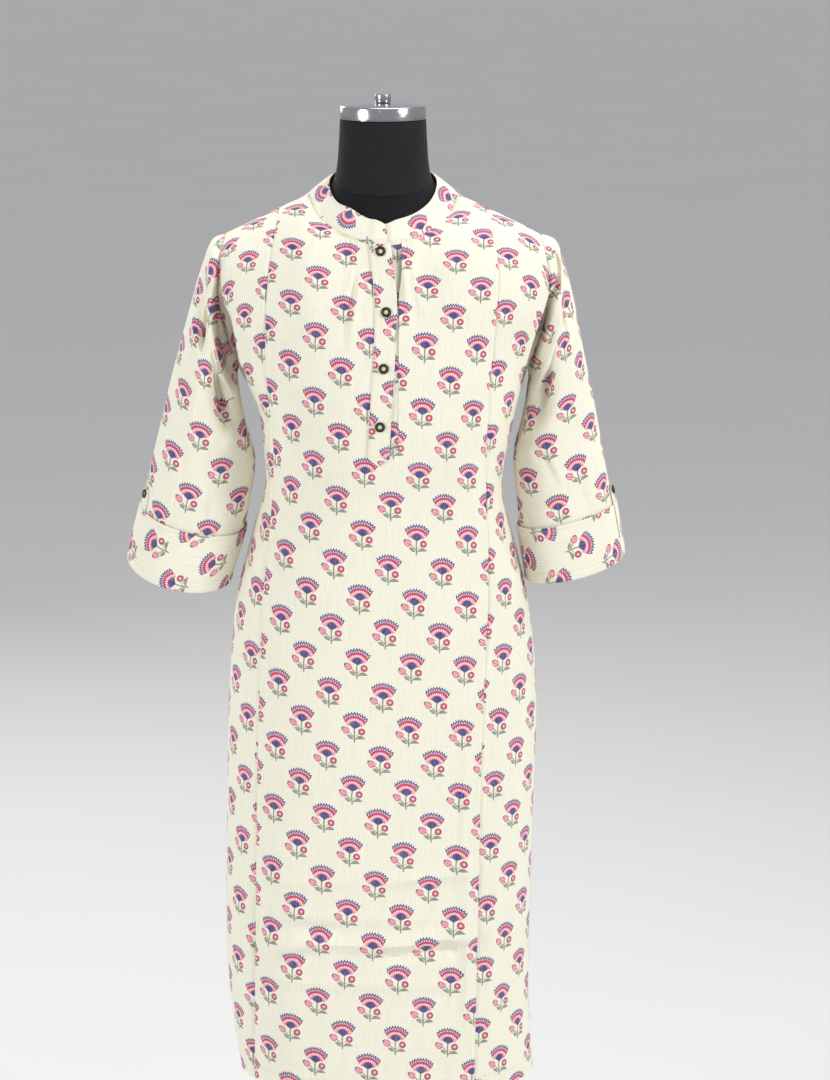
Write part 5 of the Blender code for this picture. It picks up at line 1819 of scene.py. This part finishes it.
class KURTA_OT_cuffs(bpy.types.Operator):
    """Turn up the cuffs, and button down the tabs"""

    bl_idname = "kurta.cuffs"
    bl_label = "Turn up the cuffs"

    def execute(self, context):
        for arm in ARMS:
            self.cuff(arm)
            self.tab(arm)
        return {"FINISHED"}

    def cuff(self, arm):
        around = 120
        first, second = (math.radians(a) for a in CUFF_SLIT_DEG[arm.side])
        angles = [first, *spaced(second, first + 2 * math.pi, around - 1)[:-1]]
        grid = []
        for row in CUFF_ROWS:
            edge = 0.0006 * bell((row.along - CUFF_ALONG) * 0.4, 0.0015)
            low = Vector((0, 0, row.low))
            line = []
            for angle in angles:
                out = row.out + cuff_puff(arm, angle, row.along) - edge
                line.append(on_sleeve(arm, angle, row.along, out)[0] - low)
            grid.append(line)
        inside = [ring_centre(arm, row.along) for row in CUFF_ROWS]
        plain = tube_places(grid, arm.sign, around // 4)
        # The slit runs from the upper edge down to a row of the face
        skip = {(i, 0) for i in range(CUFF_FACE.index(SLIT_ALONG))}
        name = f"cuff_{arm.side}"
        marks = chart_of(name, plain, -arm.sign)
        piece = sew(name, grid, marks, inside, sizes().cloth, closed=True, skip=skip)
        cloth(piece, name, plain, "folded", [f"sleeve_{arm.side}"])

    def tab(self, arm):
        start, end = (math.radians(a) for a in TAB_DEG[arm.side])
        middle, half = (start + end) / 2, (end - start) / 2
        rows, columns = 30, 10
        grid, plain, inside = [], [], []
        fallen = 0.0
        for i in range(rows + 1):
            along = blend(TAB_TOP_ALONG, TAB_TUCK_ALONG, (i / rows) ** 1.3)
            down = ARM_LENGTH * (along - TAB_TOP_ALONG)
            wide = math.sqrt(max(0.04, 1 - max(0.0, 1 - down / 0.008) ** 2))
            line = []
            for share in spaced(-1, 1, columns):
                edge = (1 - abs(share)) * half * 0.055
                rise = TAB_LIFT - 0.0005 * bell(edge, 0.0009)
                line.append(on_sleeve(arm, middle + half * wide * share, along, rise)[0])
            if grid:
                fallen += (line[columns // 2] - grid[-1][columns // 2]).length
            across = sum((b - a).length for a, b in zip(line, line[1:]))
            grid.append(line)
            plain.append([(across * share, -fallen) for share in spaced(-0.5, 0.5, columns)])
            inside.append(ring_centre(arm, along))
        name = f"tab_{arm.side}"
        piece = sew(name, grid, chart_of(name, plain), inside, TAB_CLOTH)
        cloth(piece, name, plain, "laid", [f"sleeve_{arm.side}"])


def stitch_mesh(name, threads, radius):
    """Short rounded threads between pairs of points, as one mesh."""
    sides = 5
    vertices, faces = [], []
    for start, end in threads:
        axis = (end - start).normalized()
        first = axis.orthogonal().normalized()
        second = axis.cross(first)
        base = len(vertices)
        for share, width in ((0.0, 0.35), (0.18, 1.0), (0.82, 1.0), (1.0, 0.35)):
            middle = start.lerp(end, share)
            for k in range(sides):
                turn = 2 * math.pi * k / sides
                out = first * math.cos(turn) + second * math.sin(turn)
                vertices.append(middle + out * radius * width)
        for ring in range(3):
            for k in range(sides):
                a, b = base + ring * sides + k, base + ring * sides + (k + 1) % sides
                faces.append((a, b, b + sides, a + sides))
        faces.append([base + k for k in reversed(range(sides))])
        faces.append([base + 3 * sides + k for k in range(sides)])
    piece = new_piece(name, vertices, [], faces)
    piece.data.shade_smooth()
    return piece


def stitch_line(path, lift):
    """Stitches along a path of (point, outward direction), just above the cloth."""
    own = sizes()
    threads = []
    travelled, target = 0.0, 0.0
    start = None
    for (a, na), (b, nb) in zip(path, path[1:]):
        length = (b - a).length
        while length > 0 and travelled + length >= target:
            share = (target - travelled) / length
            place = a.lerp(b, share) + na.lerp(nb, share).normalized() * lift
            if start is None:
                start = place
                target += own.stitch_length
            else:
                threads.append((start, place))
                start = None
                target += own.stitch_gap
        travelled += length
    return threads


class KURTA_OT_stitching(bpy.types.Operator):
    """Stitch the collar, the placket, the cuffs, the tabs, the slits and the hem"""

    bl_idname = "kurta.stitching"
    bl_label = "Stitch the edges"

    def execute(self, context):
        groups = {
            "collar_stitching": self.collar(),
            "placket_stitching": self.placket(),
            "sleeve_stitching": self.sleeves(),
            "hem_stitching": self.hems(),
        }
        thread = plain_thread()
        for name, threads in groups.items():
            finished(stitch_mesh(name, threads, sizes().stitch_radius), finish=thread)
        return {"FINISHED"}

    def collar(self):
        turns = spaced(COLLAR_START + 0.02, COLLAR_TURN_END - 0.025, 360)
        threads = []
        for share in (0.075, 0.93):
            path = [(collar_place(turn, share, 0.0006), collar_normal(turn)) for turn in turns]
            threads += stitch_line(path, 0.0001)
        return threads

    def placket(self):
        heights = spaced(front_z(0.03), OVER_BOTTOM_Z + 0.004, 120)
        levels = [front_level_at(z) for z in heights]
        threads = []
        for reach in (0.0018 - OVER_HALF, OVER_HALF - 0.0018):
            path = [on_garment(-1, sway_x(t) + reach, t) for t in levels]
            threads += stitch_line(path, OVER_LIFT)
        for z in (OVER_BOTTOM_Z + 0.0190, OVER_BOTTOM_Z + 0.0020):
            t = front_level_at(z)
            reaches = spaced(0.002 - OVER_HALF, OVER_HALF - 0.002, 20)
            path = [on_garment(-1, sway_x(t) + reach, t) for reach in reaches]
            threads += stitch_line(path, OVER_LIFT)
        return threads

    def sleeves(self):
        threads = []
        for arm in ARMS:
            begin = math.radians(CUFF_SLIT_DEG[arm.side][1] + 1)
            for along in (0.8685, 0.985):
                path = []
                for angle in spaced(begin, begin + 2 * math.pi * 0.985, 240):
                    lift = CUFF_OUT + cuff_puff(arm, angle, along)
                    path.append(on_sleeve(arm, angle, along, lift))
                threads += stitch_line(path, 0.0002)
            start, end = (math.radians(a) for a in TAB_DEG[arm.side])
            alongs = spaced(TAB_TOP_ALONG + 0.02, 0.858, 30)
            for share in (0.14, 0.86):
                angle = blend(start, end, share)
                threads += stitch_line([on_sleeve(arm, angle, along) for along in alongs], TAB_LIFT)
        return threads

    def hems(self):
        hem_z = HEM_Z + sizes().hem_depth
        hem_t = level_at(hem_z)
        threads = []
        for side in (-1, 1):
            limit, centre = side_limit(hem_t, side)
            edge = turn_of(centre + limit * 0.998, hem_t)
            turns = spaced(-edge, edge, 240)
            path = [on_garment(side, place_of(turn, hem_t), hem_t) for turn in turns]
            # The row clears the highest of the cloth's unevenness
            highest = max(ruffled(p.x, p.z, BODY_SEED * side) for p, _ in path)
            threads += stitch_line(path, highest + 0.0004)
            for way in (-1, 1):
                path = []
                for z in spaced(SLIT_TOP_Z - 0.004, hem_z, 120):
                    t = level_at(z)
                    limit, centre = side_limit(t, side)
                    turn = way * (turn_of(centre + limit, t) - SLIT_STITCH_TURN)
                    path.append(on_garment(side, place_of(turn, t), t))
                threads += stitch_line(path, 0.0008)
        return threads


# The neck's cover stands this far out, its join and its front seam are drawn in so far and wide
COVER_OUT = 0.0009
JOIN_GROOVE = 0.0006
JOIN_WIDTH = 0.0012
SEAM_GROOVE = 0.0005
SEAM_WIDTH = 0.0010
# The cap's band is joined a little to the left of its front
BAND_JOIN_DEG = -3.5
BAND_JOIN_SIZE = (0.0014, 0.0008, CAP_HEIGHT - 0.004, 1.0)


class KURTA_OT_dress_form(bpy.types.Operator):
    """Cover the dress form, and seat its cap and knob"""

    bl_idname = "kurta.dress_form"
    bl_label = "Cover the form"

    def execute(self, context):
        cover = form_cover()
        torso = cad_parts["form_torso"].data
        torso.materials.clear()
        torso.materials.append(cover)
        self.neck(cover)
        chrome = chrome_finish()
        foot = FORM_NECK[-1].side_z + SEAM_GAP
        seat = foot + CAP_HEIGHT
        band = (
            (0.0, foot),
            (CAP_RADIUS - 0.001, foot),
            (CAP_RADIUS, foot + 0.001),
            (CAP_RADIUS, seat - 0.0016),
            (CAP_RADIUS - 0.0005, seat - 0.0006),
            (CAP_RADIUS - 0.0016, seat),
            (CAP_RADIUS - 0.004, seat + 0.0002),
            (CAP_RADIUS * 0.80, seat + CAP_DOME * 0.45),
            (CAP_RADIUS * 0.55, seat + CAP_DOME * 0.80),
            (CAP_RADIUS * 0.28, seat + CAP_DOME * 0.96),
            (0.0, seat + CAP_DOME),
        )
        cap = turned_piece("cap_shell", band, sizes().round_steps)
        finished(cap, "neck_cap", chrome)
        self.band_join(chrome, foot)
        self.knob(chrome, seat + CAP_DOME + SEAM_GAP)
        return {"FINISHED"}

    def neck(self, cover):
        """The neck's cover, smooth from its foot inside the collar to the cap, with its seams."""
        columns, rows = 120, 84
        grid = []
        for step in spaced(0, len(FORM_NECK) - 1, rows):
            ring = neck_ring(step)
            line = []
            for j in range(columns):
                turn = 2 * math.pi * j / columns
                point, join_z = (ring.back_y, ring.back_z), NECK_JOIN_BACK
                if math.cos(turn) > 0:
                    point, join_z = (ring.front_y, ring.front_z), -NECK_JOIN_FRONT
                point = oval_point(turn, ring.side_x, ring.side_z, *point)
                join_z = NECK_JOIN_Z + abs(math.cos(turn)) * join_z
                groove = JOIN_GROOVE * bell(point.z - join_z, JOIN_WIDTH)
                if math.cos(turn) > 0 and point.z < join_z:
                    groove += SEAM_GROOVE * bell(point.x, SEAM_WIDTH)
                out = Vector((math.sin(turn), -math.cos(turn), 0.0))
                line.append(point + out * (COVER_OUT - groove))
            grid.append(line)
        # The cover's top tucks in under the cap
        grid.append([p + Vector((-p.x * 0.02, -p.y * 0.02, 0.0002)) for p in grid[-1]])
        rings = [[i * columns + j for j in range(columns)] for i in range(len(grid))]
        faces = []
        for low, high in zip(rings, rings[1:]):
            for j in range(columns):
                k = (j + 1) % columns
                faces.append((low[j], low[k], high[k], high[j]))
        faces += [rings[0][::-1], rings[-1]]
        piece = new_piece("neck_cover", [p for line in grid for p in line], [], faces)
        lay_out(piece)
        in_edit(bpy.ops.mesh.normals_make_consistent, inside=False)
        smoothed(piece, 50)
        finished(piece, None, cover)

    def band_join(self, chrome, foot):
        """The cap band's vertical join: a narrow strip standing on the band."""
        bpy.ops.object.select_all(action="DESELECT")
        bpy.ops.mesh.primitive_cube_add(size=1.0)
        piece = bpy.context.active_object
        piece.name = "band_join"
        piece.data.transform(Matrix.Diagonal(BAND_JOIN_SIZE))
        in_edit(bpy.ops.mesh.bevel, offset=0.0002, segments=2)
        turn = math.radians(BAND_JOIN_DEG)
        place = (CAP_RADIUS * math.sin(turn), -CAP_RADIUS * math.cos(turn), foot + CAP_HEIGHT / 2)
        piece.data.transform(Matrix.Translation(place) @ Matrix.Rotation(turn, 4, "Z"))
        smoothed(piece, 35)
        finished(piece, None, chrome)

    def knob(self, chrome, seat):
        """The cap's knob, with many flats and a bevelled rim."""
        bpy.ops.object.select_all(action="DESELECT")
        bpy.ops.mesh.primitive_cylinder_add(vertices=16, radius=KNOB_RADIUS, depth=KNOB_HEIGHT)
        piece = bpy.context.active_object
        piece.name = "knob"
        in_edit(bpy.ops.mesh.bevel, offset=0.0009, segments=3)
        piece.data.transform(Matrix.Translation((0, 0, seat + KNOB_HEIGHT / 2)))
        smoothed(piece, 20)
        finished(piece, "cap_knob", chrome)


def neck_ring(step):
    """The neck's ring between two rows of its table."""
    low = min(int(step), len(FORM_NECK) - 2)
    share = step - low
    before = FORM_NECK[max(low - 1, 0)]
    first, second = FORM_NECK[low], FORM_NECK[low + 1]
    after = FORM_NECK[min(low + 2, len(FORM_NECK) - 1)]
    found = []
    for a, b, c, d in zip(before, first, second, after):
        found.append(curve(share, b, c, (c - a) / 2, (d - b) / 2))
    return NeckRing(*found)


class KURTA_OT_stand(bpy.types.Operator):
    """Finish the pole and the base"""

    bl_idname = "kurta.stand"
    bl_label = "Finish the stand"

    def execute(self, context):
        top = BASE_THICK + BASE_BOSS_HEIGHT
        base = (
            (0.0, 0.0),
            (BASE_RADIUS - 0.002, 0.0),
            (BASE_RADIUS, 0.002),
            (BASE_RADIUS, BASE_THICK - 0.003),
            (BASE_RADIUS - 0.001, BASE_THICK - 0.0012),
            (BASE_RADIUS - 0.004, BASE_THICK),
            (BASE_BOSS_RADIUS + 0.006, BASE_THICK + 0.002),
            (BASE_BOSS_RADIUS + 0.002, BASE_THICK + 0.0035),
            (BASE_BOSS_RADIUS, BASE_THICK + 0.006),
            (BASE_BOSS_RADIUS - 0.006, top),
            (0.0, top),
        )
        plate = turned_piece("stand_base", base, 128)
        finished(plate, "base_plate", enamel_finish())
        low, high = top + SEAM_GAP, FORM_BOTTOM_Z - SEAM_GAP
        collar_z = low + 0.012
        pole = (
            (0.0, low),
            (POLE_RADIUS + 0.003, low),
            (POLE_RADIUS + 0.003, collar_z - 0.0015),
            (POLE_RADIUS + 0.0015, collar_z),
            (POLE_RADIUS, collar_z + 0.0002),
            (POLE_RADIUS, high),
            (0.0, high),
        )
        tube = turned_piece("stand_pole", pole, 64)
        finished(tube, "pole", bpy.data.materials["rubbed_chrome"])
        return {"FINISHED"}


Light = namedtuple("Light", "name place aim_z size power")
LIGHTS = (
    Light("key", (3.0, -2.0, 2.6), 1.0, 1.2, 81),
    Light("fill", (-3.0, -2.1, 2.0), 0.9, 1.6, 54),
    Light("top", (0.3, 0.6, 3.4), 1.1, 1.6, 30),
    Light("back", (-1.4, 2.6, 2.2), 1.0, 1.6, 22),
)
SKY_COLOUR = (0.95, 0.96, 1.0, 1.0)
SKY_STRENGTH = 0.52
FLOOR_SIZE = 600.0
LENS_MM = 106.7
SENSOR_MM = 36.0
CAMERA_SHIFT = (0.0296, -0.1037)
CAMERA_PLACE = (0.0, -3.778, 1.787)
CAMERA_TILT_DEG = 80


class KURTA_OT_stage(bpy.types.Operator):
    """Set the pale floor, the soft lights and the camera"""

    bl_idname = "kurta.stage"
    bl_label = "Set the stage"

    def execute(self, context):
        scene = context.scene
        bpy.ops.object.select_all(action="DESELECT")
        bpy.ops.mesh.primitive_plane_add(size=FLOOR_SIZE, location=(0, 0, 0))
        floor = context.active_object
        floor.name = "floor"
        net = Net("pale_floor")
        mottle = net.noise(net.place(), 1.4, 3.0)
        net.put("Base Color", net.mix((0.80, 0.795, 0.78), (0.765, 0.76, 0.745), mottle))
        net.put("Roughness", 0.75)
        floor.data.materials.append(net.material)

        scene.view_settings.view_transform = "Standard"
        world = bpy.data.worlds.new("studio")
        world.use_nodes = True
        sky = world.node_tree.nodes["Background"]
        sky.inputs[0].default_value = SKY_COLOUR
        sky.inputs[1].default_value = SKY_STRENGTH
        scene.world = world
        for light in LIGHTS:
            data = bpy.data.lights.new(light.name, "AREA")
            data.shape = "DISK"
            data.size = light.size
            data.energy = light.power
            lamp = bpy.data.objects.new(light.name, data)
            lamp.location = light.place
            lamp.rotation_mode = "QUATERNION"
            way = Vector((0, 0, light.aim_z)) - Vector(light.place)
            lamp.rotation_quaternion = way.to_track_quat("-Z", "Y")
            scene.collection.objects.link(lamp)

        data = bpy.data.cameras.new("view")
        data.lens = LENS_MM
        data.sensor_width = SENSOR_MM
        data.shift_x, data.shift_y = CAMERA_SHIFT
        camera = bpy.data.objects.new("view", data)
        camera.location = CAMERA_PLACE
        camera.rotation_euler = (math.radians(CAMERA_TILT_DEG), 0.0, 0.0)
        scene.collection.objects.link(camera)
        scene.camera = camera
        return {"FINISHED"}


class KURTA_PT_panel(bpy.types.Panel):
    """Lists the steps that dress the form"""

    bl_label = "Kurta"
    bl_idname = "KURTA_PT_panel"
    bl_space_type = "VIEW_3D"
    bl_region_type = "UI"
    bl_category = "Kurta"

    def draw(self, context):
        for group in (context.scene.kurta_sizes, context.scene.kurta_colours):
            for name in group.bl_rna.properties.keys():
                if name not in ("rna_type", "name"):
                    self.layout.prop(group, name)
        for step in STEPS:
            self.layout.operator(step.bl_idname)


STEPS = (
    KURTA_OT_panels,
    KURTA_OT_collar,
    KURTA_OT_placket,
    KURTA_OT_buttons,
    KURTA_OT_sleeves,
    KURTA_OT_cuffs,
    KURTA_OT_stitching,
    KURTA_OT_dress_form,
    KURTA_OT_stand,
    KURTA_OT_stage,
)
CLASSES = (KurtaSizes, KurtaColours, *STEPS, KURTA_PT_panel)


def register():
    for kind in CLASSES:
        bpy.utils.register_class(kind)
    bpy.types.Scene.kurta_sizes = PointerProperty(type=KurtaSizes)
    bpy.types.Scene.kurta_colours = PointerProperty(type=KurtaColours)


def unregister():
    del bpy.types.Scene.kurta_colours
    del bpy.types.Scene.kurta_sizes
    for kind in reversed(CLASSES):
        bpy.utils.unregister_class(kind)


def main():
    register()
    bpy.ops.kurta.panels()
    bpy.ops.kurta.collar()
    bpy.ops.kurta.placket()
    bpy.ops.kurta.buttons()
    bpy.ops.kurta.sleeves()
    bpy.ops.kurta.cuffs()
    bpy.ops.kurta.stitching()
    bpy.ops.kurta.dress_form()
    bpy.ops.kurta.stand()
    bpy.ops.kurta.stage()


if __name__ == "__main__":
    main()
